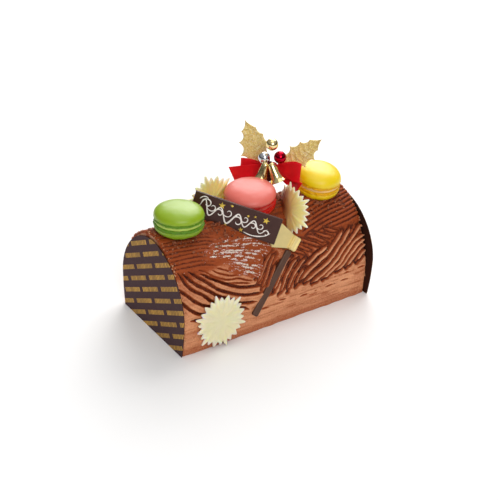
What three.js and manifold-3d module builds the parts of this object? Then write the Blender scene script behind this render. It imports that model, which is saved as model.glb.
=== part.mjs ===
// A yule log cake: one arched log in bark-combed chocolate cream between two end cards. On it sit three
// macarons, a chocolate plaque, a small axe, three snow-crystal plates and a holly pick with a ribbon bow.
// Units are millimetres. +X runs along the log, -Y is the front, +Z is up; the origin is bottom centre.
import * as THREE from "three";
import { mergeVertices } from "three/addons/utils/BufferGeometryUtils.js";
import Module from "manifold-3d";

// ---- driving dimensions ----
const GAP = 0.3; // left between neighbouring pieces

const LOG = {
  length: 173,
  nearEnd: { halfWidth: 44.8, shoulder: 24.7, height: 81.5, halfFoot: 43.8 },
  farEnd: { halfWidth: 43.2, shoulder: 21.4, height: 81.6, halfFoot: 43 },
  crownPower: 1.08,
  endRounding: 1.6, // how far the cream draws in at each end
  furrowDepth: 1.1,
  furrowPitch: 9,
  furrowDrift: 0.16, // how far a furrow climbs the side for each millimetre along the log
};

const CARD = {
  section: { halfWidth: 45, shoulder: 30.8, height: 77.8, halfFoot: 42.4 },
  thickness: 0.8,
  nearShift: -1.5, // each card stands a little to the front of the log's middle
  farShift: -4.2,
};

// lean is in degrees about X and Y
const MACARONS = [
  {
    name: "green_macaron",
    diameter: 36.8,
    height: 22.4,
    at: [-66.2, -4.2, 90.6],
    lean: [0, 0],
    color: 0x9fc42e,
  },
  {
    name: "pink_macaron",
    diameter: 39.4,
    height: 22,
    at: [-2, -1.6, 90.2],
    lean: [4, -6],
    color: 0xea8478,
  },
  {
    name: "yellow_macaron",
    diameter: 35.8,
    height: 24.8,
    at: [64.8, 0, 88.4],
    lean: [9, 0],
    color: 0xeecb14,
  },
];
const SHELL = {
  segments: 22,
  domePower: 0.8, // under 1 gives the dome full shoulders
  footHeight: 1.9, // the ruffled ring at the flat side
  footInset: 0.7, // how far the ring stands back from the dome's edge
};
const FILLING = { height: 2.2, share: 0.94 }; // share of the shell's diameter

const PLAQUE = { length: 67.4, width: 20.9, thickness: 2.4 };
const AXE = {
  handle: { length: 55.5, width: 5.6, thickness: 3.2 },
  eye: { foot: 1.2, length: 11, width: 7.2, offset: -0.6, thickness: 3.8, ribs: 5 },
  // the blade's corners beyond the eye, as [along the handle, out from it]
  blade: { topCorner: [14.9, 16.1], edgeCorner: [-0.5, 18.6], heel: [-4.4, 14.4], thickness: 1.8 },
};
// A crystal's rim repeats every 60 degrees: [degrees from the arm, radius] of its tips and notches.
const CRYSTAL = {
  rim: [[0, 22.8], [6.5, 17.8], [13, 19.6], [21, 17.3], [30, 20.3], [39, 17.3], [47, 19.6], [53.5, 17.8]],
  radius: 22.8, // of the largest tips
  thickness: 2.2,
  arms: 6,
  slotGap: 0.8, // left round a crystal where it stands in the cream
};

const PICK = {
  at: [30.5, 15.2, 103.2], // the knot of the bow
  turn: -50, // the way it faces, about +Z
  leanBack: 10,
  stemRadius: 1,
  stemFoot: 62, // how high above the ground the stem ends inside the log
  ballRadius: 4.9,
  bell: { length: 15.5, mouth: 6.1, wall: 0.7 },
  leaf: { length: 31.5, halfWidth: 8.6, spines: 3, thickness: 0.8 },
  knot: { width: 6, height: 8, thickness: 2.4 },
  ribbon: { width: 12, thickness: 0.5, loopDepth: 4.4, loopBack: 4.2 },
};

const wasm = await Module();
wasm.setup();
const deg = THREE.MathUtils.degToRad;

// ---- materials ----
function finish(color, roughness, metalness = 0) {
  return new THREE.MeshStandardMaterial({ color, roughness, metalness });
}
const CREAM = finish(0x9b5636, 0.55);
const CARD_STOCK = finish(0x4b3a3c, 0.6);
const DARK_CHOCOLATE = finish(0x3d211c, 0.35);
const HANDLE_CHOCOLATE = finish(0x55402f, 0.5);
const WHITE_CHOCOLATE = finish(0xe3d7a6, 0.4);
const GOLD = finish(0xd9b75e, 0.22, 1);
const GLITTER_GOLD = finish(0xcbb36a, 0.5, 0.6);
const SILVER = finish(0xc8ccd2, 0.15, 1);
const RED_METALLIC = finish(0xa80f1c, 0.2, 0.8);
const SATIN = finish(0xc0121c, 0.4);

// ---- solids from geometry and back ----
function weld(geometry) {
  const bare = geometry.clone();
  bare.deleteAttribute("normal");
  bare.deleteAttribute("uv");
  return mergeVertices(bare, 1e-3);
}

function solidOf(geometry) {
  const welded = weld(geometry);
  return new wasm.Manifold(
    new wasm.Mesh({
      numProp: 3,
      vertProperties: welded.attributes.position.array,
      triVerts: new Uint32Array(welded.index.array),
    }),
  );
}

function geometryOf(solid) {
  const made = solid.getMesh();
  const geometry = new THREE.BufferGeometry();
  geometry.setAttribute("position", new THREE.BufferAttribute(made.vertProperties, 3));
  geometry.setIndex(new THREE.BufferAttribute(made.triVerts, 1));
  return geometry;
}

// A closed solid skinned over a row of rings with equal numbers of points; each end is closed by a fan.
// The faces are turned to point outwards whichever way the rings run.
function skin(rings) {
  const count = rings[0].length;
  const points = rings.flat();
  const faces = [];
  for (let ring = 0; ring < rings.length - 1; ring++)
    for (let i = 0; i < count; i++) {
      const a = ring * count + i;
      const b = ring * count + ((i + 1) % count);
      faces.push([a, b, b + count], [a, b + count, a + count]);
    }
  for (const [ring, flip] of [[0, true], [rings.length - 1, false]]) {
    const centre = new THREE.Vector3();
    for (const p of rings[ring]) centre.addScaledVector(p, 1 / count);
    const middle = points.push(centre) - 1;
    for (let i = 0; i < count; i++) {
      const a = ring * count + i;
      const b = ring * count + ((i + 1) % count);
      faces.push(flip ? [middle, b, a] : [middle, a, b]);
    }
  }
  const cross = new THREE.Vector3();
  let volume = 0;
  for (const [a, b, c] of faces) volume += cross.crossVectors(points[b], points[c]).dot(points[a]);
  const geometry = new THREE.BufferGeometry().setFromPoints(points);
  geometry.setIndex(faces.flatMap((face) => (volume < 0 ? face.reverse() : face)));
  return geometry;
}

function piece(name, geometry, material) {
  const mesh = new THREE.Mesh(geometry, material);
  mesh.name = name;
  return mesh;
}

// Turns an object so that its X runs along one direction and its Z faces another.
function pose(object, at, along, facing) {
  const x = new THREE.Vector3(...along).normalize();
  const z = new THREE.Vector3(...facing);
  z.addScaledVector(x, -z.dot(x)).normalize();
  const y = new THREE.Vector3().crossVectors(z, x);
  object.quaternion.setFromRotationMatrix(new THREE.Matrix4().makeBasis(x, y, z));
  object.position.set(...at);
  return object;
}

// ---- the log ----
// The arch in the YZ plane as [y, z], from the back foot over the crown to the front foot: straight-footed
// sides that swell to the shoulder, then a superelliptic crown.
function arch({ halfWidth, shoulder, height, halfFoot }, sideSteps, crownSteps, power = LOG.crownPower) {
  const side = [];
  for (let i = 0; i < sideSteps; i++) {
    const up = i / sideSteps;
    side.push([halfWidth - (halfWidth - halfFoot) * (1 - up) ** 2, shoulder * up]);
  }
  const outline = [...side];
  for (let i = 0; i <= crownSteps; i++) {
    const angle = (Math.PI * i) / crownSteps;
    const y = halfWidth * Math.sign(Math.cos(angle)) * Math.abs(Math.cos(angle)) ** power;
    outline.push([y, shoulder + (height - shoulder) * Math.abs(Math.sin(angle)) ** power]);
  }
  return [...outline, ...side.reverse().map(([y, z]) => [-y, z])];
}

// How far a furrow sinks the cream at a place along the log and an arc length up its section.
function furrow(x, arc) {
  const drift = LOG.furrowDrift * x + 2.5 * Math.sin(x / 19);
  const wave = Math.cos((2 * Math.PI * (arc + drift)) / LOG.furrowPitch);
  return LOG.furrowDepth * Math.max(0, wave) ** 1.5;
}

function logRing(x) {
  const t = x / LOG.length + 0.5;
  const mix = (key) => THREE.MathUtils.lerp(LOG.nearEnd[key], LOG.farEnd[key], t);
  const section = {
    halfWidth: mix("halfWidth"),
    shoulder: mix("shoulder"),
    height: mix("height"),
    halfFoot: mix("halfFoot"),
  };
  const outline = arch(section, 6, 46);
  const fromEnd = LOG.length / 2 - Math.abs(x);
  const drawnIn = Math.max(0, LOG.endRounding - fromEnd);
  let arc = 0;
  return outline.map(([y, z], i) => {
    const before = outline[Math.max(i - 1, 0)];
    const after = outline[Math.min(i + 1, outline.length - 1)];
    arc += Math.hypot(y - before[0], z - before[1]);
    const tangent = new THREE.Vector2(after[0] - before[0], after[1] - before[1]).normalize();
    const onFoot = i === 0 || i === outline.length - 1;
    const sink = onFoot ? 0 : drawnIn + (drawnIn ? 0 : furrow(x, arc));
    // the tangent turned a quarter turn points out of the section, so sinking goes against it
    return new THREE.Vector3(x, y - tangent.y * sink, Math.max(z + tangent.x * sink, 0));
  });
}

function logGeometry() {
  const half = LOG.length / 2;
  const steps = 20;
  const stations = [-half];
  for (let i = 0; i <= steps; i++)
    stations.push(THREE.MathUtils.lerp(-half + LOG.endRounding, half - LOG.endRounding, i / steps));
  stations.push(half);
  return skin(stations.map(logRing));
}

// ---- end cards ----
function cardGeometry() {
  const outline = new THREE.Shape(arch(CARD.section, 6, 32).map(([y, z]) => new THREE.Vector2(y, z)));
  const geometry = new THREE.ExtrudeGeometry(outline, { depth: CARD.thickness, bevelEnabled: false });
  // the outline's own x becomes Y and its y becomes Z, so the card's thickness runs along X
  geometry.applyMatrix4(new THREE.Matrix4().makeBasis(
    new THREE.Vector3(0, 1, 0), new THREE.Vector3(0, 0, 1), new THREE.Vector3(1, 0, 0)));
  return geometry;
}

function endCards() {
  const near = piece("end_card_near", cardGeometry(), CARD_STOCK);
  near.position.set(-LOG.length / 2 - GAP - CARD.thickness, CARD.nearShift, 0);
  const far = piece("end_card_far", cardGeometry(), CARD_STOCK);
  far.position.set(LOG.length / 2 + GAP, CARD.farShift, 0);
  return [near, far];
}

// ---- macarons ----
// A solid of revolution about Z from [radius, height] pairs.
function turned(profile, segments) {
  const geometry = new THREE.LatheGeometry(profile.map(([r, z]) => new THREE.Vector2(r, z)), segments);
  return geometry.rotateX(Math.PI / 2);
}

// The dome of a shell from its edge up to its pole: a quarter of a superellipse that starts at a height.
function domeProfile(radius, rise, from) {
  const profile = [];
  const steps = 5;
  for (let i = 0; i < steps; i++) {
    const angle = (Math.PI / 2) * (i / steps);
    const out = radius * Math.cos(angle) ** SHELL.domePower;
    profile.push([out, from + rise * Math.sin(angle) ** SHELL.domePower]);
  }
  profile.push([0, from + rise]);
  return profile;
}

// One shell, flat side down at z = 0: the ruffled ring with the dome on it.
function shellProfile(radius, height) {
  const { footHeight, footInset } = SHELL;
  const foot = radius - footInset;
  const ring = [[0, 0], [foot - 0.5, 0], [foot, 0.5], [foot, footHeight]];
  return [...ring, ...domeProfile(radius, height - footHeight, footHeight)];
}

function fillingProfile(radius) {
  const half = FILLING.height / 2;
  const flat = radius - 0.9; // the edge bulges this far past the flat faces
  return [[0, -half], [flat, -half], [radius, -half / 2], [radius, half / 2], [flat, half], [0, half]];
}

function macaron({ name, diameter, height, at, lean, color }) {
  const group = new THREE.Group();
  group.position.set(...at);
  group.rotation.set(deg(lean[0]), deg(lean[1]), 0);
  const shellMaterial = finish(color, 0.55);
  const seam = FILLING.height / 2 + GAP;
  const shell = turned(shellProfile(diameter / 2, height / 2 - seam), SHELL.segments);
  const upper = piece(name + "_upper_shell", shell, shellMaterial);
  upper.position.z = seam;
  const lower = piece(name + "_lower_shell", shell, shellMaterial);
  lower.rotation.x = Math.PI;
  lower.position.z = -seam;
  const cream = turned(fillingProfile((diameter / 2) * FILLING.share), SHELL.segments);
  group.add(upper, piece(name + "_filling", cream, shellMaterial), lower);
  return group;
}

// The seat a macaron presses into the cream: its lower shell, a gap larger all round, open upwards.
function macaronSeat({ diameter, height, at, lean }) {
  const radius = diameter / 2 + GAP;
  const edge = FILLING.height / 2 + GAP + SHELL.footHeight;
  const dome = domeProfile(radius, height / 2 - edge + GAP, edge);
  const clear = height / 2; // high enough to pass out of the cream
  const profile = [...dome.reverse().map(([r, z]) => [r, -z]), [radius, clear], [0, clear]];
  const seat = new THREE.Mesh(turned(profile, SHELL.segments));
  seat.position.set(...at);
  seat.rotation.set(deg(lean[0]), deg(lean[1]), 0);
  return seat;
}

// ---- plates: plaque and snow crystals ----
// Each place has the middle of the plate, the direction its X runs and the one its face looks in.
const PLAQUE_PLACE = {
  at: [-23.5, -14.3, 84.8],
  along: [0.719, -0.646, -0.255],
  facing: [-0.635, -0.761, 0.135],
};
// spin turns one arm of a crystal that many degrees up from its X. bend is the radius of the cylinder it
// curls back over, whose axis runs along its Y; 0 leaves it flat.
const CRYSTAL_PLACES = {
  snow_crystal_front: {
    at: [-55.8, -47.2, 22.7],
    along: [1, 0, 0],
    facing: [0, -1, 0.06],
    spin: 41,
    bend: 0,
  },
  snow_crystal_back: { at: [-23, 18.8, 83.5], along: [1, 0, 0], facing: [0, -1, 0.05], spin: 44, bend: 0 },
  snow_crystal_right: {
    at: [20.6, -21.4, 83],
    along: [-0.04, -0.98, 0.2],
    facing: [-0.98, 0.04, 0.12],
    spin: 30,
    bend: 32,
  },
};

function plaqueGeometry(grow = 0) {
  const { length, width, thickness } = PLAQUE;
  return new THREE.BoxGeometry(length + 2 * grow, width + 2 * grow, thickness + 2 * grow);
}

// A round plate in the XY plane whose rim is a row of [degrees, radius] that repeats on every arm.
function roundPlate(rim, thickness, { bend, spin }) {
  const curl = (x, y, z) => {
    if (!bend) return new THREE.Vector3(x, y, z);
    const reach = bend + z;
    return new THREE.Vector3(reach * Math.sin(x / bend), y, reach * Math.cos(x / bend) - bend);
  };
  const ring = (share, z) => {
    const points = [];
    for (let arm = 0; arm < CRYSTAL.arms; arm++)
      for (const [turn, radius] of rim) {
        const angle = deg((360 / CRYSTAL.arms) * arm + turn + spin);
        points.push(curl(radius * share * Math.cos(angle), radius * share * Math.sin(angle), z));
      }
    return points;
  };
  const half = thickness / 2;
  return skin([ring(0.5, -half), ring(1, -half), ring(1, half), ring(0.5, half)]);
}

function crystal([name, place]) {
  const mesh = piece(name, roundPlate(CRYSTAL.rim, CRYSTAL.thickness, place), WHITE_CHOCOLATE);
  return pose(mesh, place.at, place.along, place.facing);
}

// A plain round plate a little larger than the crystal, which cuts the slot that holds it.
function crystalSlot(place) {
  const rim = CRYSTAL.rim.map(([turn]) => [turn, CRYSTAL.radius + GAP]);
  const mesh = new THREE.Mesh(roundPlate(rim, CRYSTAL.thickness + 2 * CRYSTAL.slotGap, place));
  return pose(mesh, place.at, place.along, place.facing);
}

// ---- the axe ----
const AXE_PLACE = { at: [11.3, -36.3, 57.2], along: [0.659, 0.176, 0.731], facing: [-0.14, -0.927, 0.349] };

function handleGeometry(grow = 0) {
  const { length, width, thickness } = AXE.handle;
  const box = new THREE.BoxGeometry(length + 2 * grow, width + 2 * grow, thickness + 2 * grow);
  return box.translate(-length / 2, 0, 0);
}

// The head in the XY plane: a ribbed eye along X and a blade that widens towards +Y.
function headGeometry() {
  const { blade, eye } = AXE;
  const side = eye.offset + eye.width / 2;
  const top = eye.foot + eye.length;
  const inEye = side - 1; // the neck runs this far into the eye
  const corners = [[eye.foot, inEye], blade.heel, blade.edgeCorner, blade.topCorner, [top, inEye]];
  const outline = new THREE.Shape(corners.map(([x, y]) => new THREE.Vector2(x, y)));
  const plate = new THREE.ExtrudeGeometry(outline, { depth: blade.thickness, bevelEnabled: false });
  plate.translate(0, 0, -blade.thickness / 2);
  const sleeve = new THREE.BoxGeometry(eye.length, eye.width, eye.thickness);
  const middle = eye.foot + eye.length / 2;
  let head = solidOf(plate).add(solidOf(sleeve.translate(middle, eye.offset, 0)));
  const pitch = eye.width / eye.ribs;
  for (let i = 0; i < eye.ribs; i++) {
    const rib = new THREE.CylinderGeometry(pitch * 0.34, pitch * 0.34, eye.length - 1, 6);
    rib.rotateZ(Math.PI / 2);
    rib.translate(middle, eye.offset + (i - (eye.ribs - 1) / 2) * pitch, eye.thickness / 2);
    head = head.add(solidOf(rib));
  }
  return geometryOf(head);
}

// ---- the pick ----
const STEM_TOP = PICK.at[2] - 1 - PICK.knot.height / 2 - GAP; // just under the knot

// A leaf in the XY plane with its stalk at the origin and its tip up Y: spines with scooped bays between.
function leafGeometry() {
  const { length, halfWidth, spines, thickness } = PICK.leaf;
  const edge = [];
  for (let spine = 1; spine <= spines; spine++) {
    const up = (spine - 0.35) / (spines + 0.6);
    const out = halfWidth * Math.sin(Math.PI * up) ** 0.45;
    edge.push([out * 0.62, length * (up - 0.17)], [out * 0.66, length * (up - 0.08)], [out, length * up]);
  }
  edge.push([halfWidth * 0.3, length * 0.88]);
  const outline = new THREE.Shape();
  outline.moveTo(-0.6, 0);
  outline.lineTo(0.6, 0);
  for (const [x, y] of edge) outline.lineTo(x, y);
  outline.lineTo(0, length);
  for (const [x, y] of [...edge].reverse()) outline.lineTo(-x, y);
  outline.closePath();
  return new THREE.ExtrudeGeometry(outline, { depth: thickness, bevelEnabled: false });
}

// A hollow bell that hangs from the origin down -Z, open at its mouth.
function bellGeometry() {
  const { length, mouth, wall } = PICK.bell;
  // shares of the mouth's radius and of the length, from the lip up to the crown
  const curve = [[1, 1], [0.78, 0.84], [0.56, 0.45], [0.34, 0.12], [0, 0]];
  const outer = curve.map(([r, z]) => [r * mouth, -z * length]);
  const inner = curve.map(([r, z]) => [Math.max(r * mouth - wall, 0), -z * (length - 2 * wall) - 2 * wall]);
  return turned([...inner.reverse(), ...outer], 12);
}

// A band of ribbon: a flat section carried along a path in the XY plane, its width along Y and its
// thickness across the path, both in the group's own axes.
function ribbonGeometry(path, width) {
  const half = PICK.ribbon.thickness / 2;
  const rings = path.map(([x, y, z], i) => {
    const before = path[Math.max(i - 1, 0)];
    const after = path[Math.min(i + 1, path.length - 1)];
    const across = new THREE.Vector2(after[2] - before[2], before[0] - after[0]);
    across.setLength(half);
    const w = width[i] / 2;
    const corners = [[1, 1], [1, -1], [-1, -1], [-1, 1]];
    return corners.map(([s, up]) => new THREE.Vector3(x + s * across.x, y + up * w, z + s * across.y));
  });
  return skin(rings);
}

// One loop of the bow: out from the knot, round and back, with its two layers one behind the other.
function bowLoop(name, side, { reach, rise, sweep }) {
  const { width, loopDepth, loopBack } = PICK.ribbon;
  const path = [];
  const widths = [];
  const steps = 9;
  for (let i = 0; i <= steps; i++) {
    const turn = Math.PI * (0.04 + (1.92 * i) / steps);
    const out = (reach / 2) * (1 - Math.cos(turn));
    const layer = (loopDepth / 2) * Math.sin(turn) - loopBack;
    path.push([side * (PICK.knot.width / 2 + 0.6 + out), rise * out, layer + sweep * out]);
    widths.push(width * (0.55 + 0.45 * Math.min(1, out / width)));
  }
  return piece(name, ribbonGeometry(path, widths), SATIN);
}

// One tail of the bow, which widens out of the knot and ends cut square.
function bowTail(name, side, { reach, drop, back, sweep }) {
  const path = [];
  const widths = [];
  const steps = 6;
  for (let i = 0; i <= steps; i++) {
    const out = i / steps;
    const x = side * (PICK.knot.width / 2 + 0.5 + reach * out);
    path.push([x, -3 - drop * out, sweep * reach * out - back]);
    widths.push(PICK.ribbon.width * (0.5 + 0.45 * Math.min(1, out * 1.6)));
  }
  return piece(name, ribbonGeometry(path, widths), SATIN);
}

function pickGroup() {
  const group = new THREE.Group();
  const face = new THREE.Group();
  face.position.set(...PICK.at);
  face.rotation.z = deg(PICK.turn);
  const plane = new THREE.Group(); // its X runs across the bow, Y up and Z out of its face
  plane.rotation.x = Math.PI / 2 - deg(PICK.leanBack);
  face.add(plane);
  const put = (mesh, at, turn = 0) => {
    mesh.position.set(...at);
    mesh.rotation.z = deg(turn);
    plane.add(mesh);
  };

  put(piece("holly_leaf_left", leafGeometry(), GLITTER_GOLD), [-14.4, -2.9, -11], 21);
  put(piece("holly_leaf_right", leafGeometry(), GLITTER_GOLD), [11.6, -1.4, -11], -46);
  for (const [name, x, y, material] of [
    ["ball_gold", -0.8, 17.5, GOLD],
    ["ball_silver", -6, 6, SILVER],
    ["ball_red", 6.4, 8.4, RED_METALLIC],
  ])
    put(piece(name, new THREE.SphereGeometry(PICK.ballRadius, 12, 8), material), [x, y, 5]);
  put(piece("bell_left", bellGeometry().rotateX(-Math.PI / 2), GOLD), [-3.2, 3.5, 9.5], -12);
  put(piece("bell_right", bellGeometry().rotateX(-Math.PI / 2), GOLD), [0.9, 4.6, 11.5], 28);
  put(bowLoop("bow_loop_left", -1, { reach: 23, rise: -0.23, sweep: 0 }), [0, 0, 0]);
  put(bowLoop("bow_loop_right", 1, { reach: 19.4, rise: -0.2, sweep: 0.3 }), [0, 0, 0]);
  put(bowTail("bow_tail_left", -1, { reach: 28, drop: 8, back: -1, sweep: 0 }), [0, 0, 0]);
  put(bowTail("bow_tail_right", 1, { reach: 19, drop: 10, back: 7.2, sweep: 0.3 }), [0, 0, 0]);
  const { width, height, thickness } = PICK.knot;
  put(piece("bow_knot", new THREE.BoxGeometry(width, height, thickness), SATIN), [0, -1, 1.8]);
  group.add(face);

  const stem = new THREE.CylinderGeometry(PICK.stemRadius, PICK.stemRadius, STEM_TOP - PICK.stemFoot, 8);
  const stick = piece("pick_stem", stem.rotateX(Math.PI / 2), GOLD);
  stick.position.set(PICK.at[0], PICK.at[1], (STEM_TOP + PICK.stemFoot) / 2);
  group.add(stick);
  return group;
}

function stemHole() {
  const hole = new THREE.CylinderGeometry(PICK.stemRadius + GAP, PICK.stemRadius + GAP, 60, 8);
  const mesh = new THREE.Mesh(hole.rotateX(Math.PI / 2));
  mesh.position.set(PICK.at[0], PICK.at[1], PICK.stemFoot - GAP + 30);
  return mesh;
}

// ---- assembly ----
function placedSolid(mesh) {
  mesh.updateMatrixWorld(true);
  return solidOf(mesh.geometry.clone().applyMatrix4(mesh.matrixWorld));
}

const cake = new THREE.Group();
cake.name = "yule_log_cake";

const cutters = [
  ...MACARONS.map(macaronSeat),
  pose(new THREE.Mesh(plaqueGeometry(GAP)), ...Object.values(PLAQUE_PLACE)),
  pose(new THREE.Mesh(handleGeometry(GAP)), ...Object.values(AXE_PLACE)),
  ...Object.values(CRYSTAL_PLACES).map(crystalSlot),
  stemHole(),
];
let logSolid = solidOf(logGeometry());
for (const cutter of cutters) logSolid = logSolid.subtract(placedSolid(cutter));
cake.add(piece("log", geometryOf(logSolid), CREAM));
cake.add(...endCards());
for (const entry of MACARONS) cake.add(macaron(entry));

cake.add(pose(piece("plaque", plaqueGeometry(), DARK_CHOCOLATE), ...Object.values(PLAQUE_PLACE)));
for (const entry of Object.entries(CRYSTAL_PLACES)) cake.add(crystal(entry));

const axe = new THREE.Group();
axe.add(piece("axe_handle", handleGeometry(), HANDLE_CHOCOLATE));
axe.add(piece("axe_head", headGeometry(), GOLD));
cake.add(pose(axe, ...Object.values(AXE_PLACE)));

cake.add(pickGroup());

export default cake;
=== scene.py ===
"""Yule log cake: the looks of its pieces, set round the packed CAD frame.

Shapes are worked out in millimetres and turned to metres when they become a mesh. +X runs along the log,
-Y is its front and +Z is up.
"""

import math

import bpy
import numpy as np
from mathutils import Matrix, Vector


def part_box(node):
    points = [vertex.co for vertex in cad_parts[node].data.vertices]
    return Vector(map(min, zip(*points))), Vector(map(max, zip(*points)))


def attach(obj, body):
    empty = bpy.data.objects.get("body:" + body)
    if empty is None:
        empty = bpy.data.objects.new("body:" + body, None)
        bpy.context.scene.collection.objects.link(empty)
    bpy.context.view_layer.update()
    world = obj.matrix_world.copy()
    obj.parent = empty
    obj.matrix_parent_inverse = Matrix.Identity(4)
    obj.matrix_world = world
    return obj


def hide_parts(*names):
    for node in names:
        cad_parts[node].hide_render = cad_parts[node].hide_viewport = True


bl_info = {
    "name": "Yule log cake",
    "version": (1, 0, 0),
    "blender": (4, 5, 0),
    "location": "3D View > Sidebar > Cake",
    "description": "Builds the pieces and finishes of a yule log cake on its CAD frame",
    "category": "Add Mesh",
}

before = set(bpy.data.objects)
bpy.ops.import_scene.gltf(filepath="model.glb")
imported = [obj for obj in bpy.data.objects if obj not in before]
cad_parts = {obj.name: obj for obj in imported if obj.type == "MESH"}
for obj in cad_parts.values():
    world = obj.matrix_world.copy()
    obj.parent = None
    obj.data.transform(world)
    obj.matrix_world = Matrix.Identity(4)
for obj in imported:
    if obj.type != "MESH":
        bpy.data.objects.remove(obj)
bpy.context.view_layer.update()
MM = 0.001


# ---- places taken from the frame ----
def corners(node):
    """The lowest and highest corners of a CAD node, in millimetres."""
    low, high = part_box(node)
    return np.array(low) / MM, np.array(high) / MM


def middle(node):
    """The middle of a CAD node's box, in millimetres."""
    low, high = corners(node)
    return (low + high) / 2


def node_points(node):
    """Every vertex of a CAD node, in millimetres."""
    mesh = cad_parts[node].data
    flat = np.empty(len(mesh.vertices) * 3)
    mesh.vertices.foreach_get("co", flat)
    return flat.reshape(-1, 3) / MM


def axes_from(along, facing):
    """Three unit rows: X along the first direction, Z nearest to the second, Y square to both."""
    x = np.array(along, dtype=float)
    x /= np.linalg.norm(x)
    z = np.array(facing, dtype=float)
    z -= x * (z @ x)
    z /= np.linalg.norm(z)
    return np.array([x, np.cross(z, x), z])


def plate_pose(node, along, facing):
    """Where a flat node is: its middle and axes. Z is the direction in which its points spread least, on
    the side of the given facing, and X is the given direction laid into the plate."""
    points = node_points(node)
    spread = np.linalg.svd(points - points.mean(axis=0), full_matrices=False)[2]
    normal = spread[2] * np.sign(spread[2] @ np.array(facing))
    x = np.array(along, dtype=float)
    x -= normal * (x @ normal)
    axes = axes_from(x, normal)
    local = points @ axes.T
    return (local.min(axis=0) + local.max(axis=0)) / 2 @ axes, axes


def put(points, at, axes):
    """Local points set at a place with the given axes: at + x X + y Y + z Z."""
    return np.asarray(at) + np.asarray(points) @ axes


def settle(points, node):
    """Points shifted so that the middle of their box is the middle of a node's box."""
    shift = middle(node) - (points.min(axis=0) + points.max(axis=0)) / 2
    return points + shift


# ---- working out shapes ----
def smoothstep(low, high, value):
    """0 below low, 1 above high and an even S-curve between them."""
    share = np.clip((value - low) / (high - low), 0, 1)
    return share * share * (3 - 2 * share)


def blend(first, second, share):
    """first where share is 0 and second where it is 1."""
    return first + (second - first) * share


def noise(places, spacing, seed=0):
    """Smooth noise from -1 to 1. Each point of a lattice with the given spacing has a random value, and a
    place takes those of the corners round it, weighted by 3t^2 - 2t^3 along every axis."""
    scaled = np.asarray(places, dtype=float) / np.asarray(spacing)
    cell = np.floor(scaled).astype(np.int64)
    part = scaled - cell
    part = part * part * (3 - 2 * part)
    dims = scaled.shape[-1]
    primes = np.array([374761393, 668265263, 1103515245])[:dims]
    total = np.zeros(scaled.shape[:-1])
    for corner in np.ndindex(*(2,) * dims):
        step = np.array(corner)
        weight = np.prod(np.where(step, part, 1 - part), axis=-1)
        mixed = ((cell + step) @ primes + seed * 97531) & 0x7FFFFFFF
        mixed = ((mixed ^ (mixed >> 13)) * 1274126177) & 0x7FFFFFFF
        mixed = ((mixed ^ (mixed >> 11)) * 668265263) & 0x7FFFFFFF
        total += weight * ((mixed >> 8) & 0xFFFF)
    return total / 32767.5 - 1


def pair(first, second):
    """Two fields of numbers as one field of places."""
    return np.stack(np.broadcast_arrays(first, second), axis=-1)


def smooth_path(points, spacing=0.4, count=None):
    """Evenly spaced places on the Catmull-Rom curve through the given points."""
    points = np.asarray(points, dtype=float)
    ends = [2 * points[0] - points[1]], [2 * points[-1] - points[-2]]
    knots = np.vstack([ends[0], points, ends[1]])
    place = np.linspace(0, len(points) - 1, 40 * len(points))
    index = np.minimum(place.astype(int), len(points) - 2)
    t = (place - index)[:, None]
    a, b, c, d = (knots[index + shift] for shift in range(4))
    curve = 0.5 * (2 * b + (c - a) * t + (2 * a - 5 * b + 4 * c - d) * t**2 + (3 * b - a - 3 * c + d) * t**3)
    length = np.concatenate([[0], np.cumsum(np.linalg.norm(np.diff(curve, axis=0), axis=1))])
    count = count or max(int(length[-1] / spacing), 8)
    even = np.linspace(0, length[-1], count)
    return np.stack([np.interp(even, length, curve[:, axis]) for axis in range(points.shape[1])], axis=1)


def grid_faces(rows, columns, wrap=False, start=0):
    """The quads of a grid whose points run row by row. wrap joins the last column to the first."""
    index = np.arange(rows * columns).reshape(rows, columns) + start
    if wrap:
        index = np.hstack([index, index[:, :1]])
    quads = [index[:-1, :-1], index[:-1, 1:], index[1:, 1:], index[1:, :-1]]
    return np.stack(quads, axis=-1).reshape(-1, 4)


def fan(ring, centre):
    """Triangles from each step of a closed ring of indices to one centre."""
    return np.stack([ring, np.roll(ring, -1), np.full(len(ring), centre)], axis=1)


def closed_rings(rings):
    """A closed surface over a row of closed rings, an array of ring by point by xyz. The two end rings are
    closed by a fan to their middle."""
    rows, columns = rings.shape[:2]
    points = np.vstack([rings.reshape(-1, 3), rings[0].mean(axis=0), rings[-1].mean(axis=0)])
    first = np.arange(columns)
    last = first + (rows - 1) * columns
    faces = [grid_faces(rows, columns, wrap=True)]
    faces.append(fan(first[::-1], rows * columns))
    faces.append(fan(last, rows * columns + 1))
    return points, faces


def turned(profile, columns):
    """A closed surface of revolution about Z from [radius, height] pairs, both ends on the axis: the point
    at angle t is (r cos t, r sin t, z)."""
    profile = np.asarray(profile, dtype=float)[1:-1]
    turn = np.linspace(0, 2 * np.pi, columns, endpoint=False)
    rings = np.empty((len(profile), columns, 3))
    rings[..., 0] = profile[:, :1] * np.cos(turn)
    rings[..., 1] = profile[:, :1] * np.sin(turn)
    rings[..., 2] = profile[:, 1:]
    return rings


def joined(parts):
    """Several shapes as one: their points one after another and their faces counted on."""
    points = np.vstack([part[0] for part in parts])
    starts = np.cumsum([0] + [len(part[0]) for part in parts[:-1]])
    faces = [face + start for part, start in zip(parts, starts) for face in part[1]]
    return points, faces


def outward(points, faces):
    """The same faces, all turned round if the closed surface they make holds a negative volume."""
    volume = 0.0
    for group in faces:
        first = points[group[:, 0]]
        for step in range(1, group.shape[1] - 1):
            cross = np.cross(points[group[:, step]], points[group[:, step + 1]])
            volume += np.einsum("ij,ij->", first, cross)
    return [group[:, ::-1] for group in faces] if volume < 0 else faces


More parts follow.
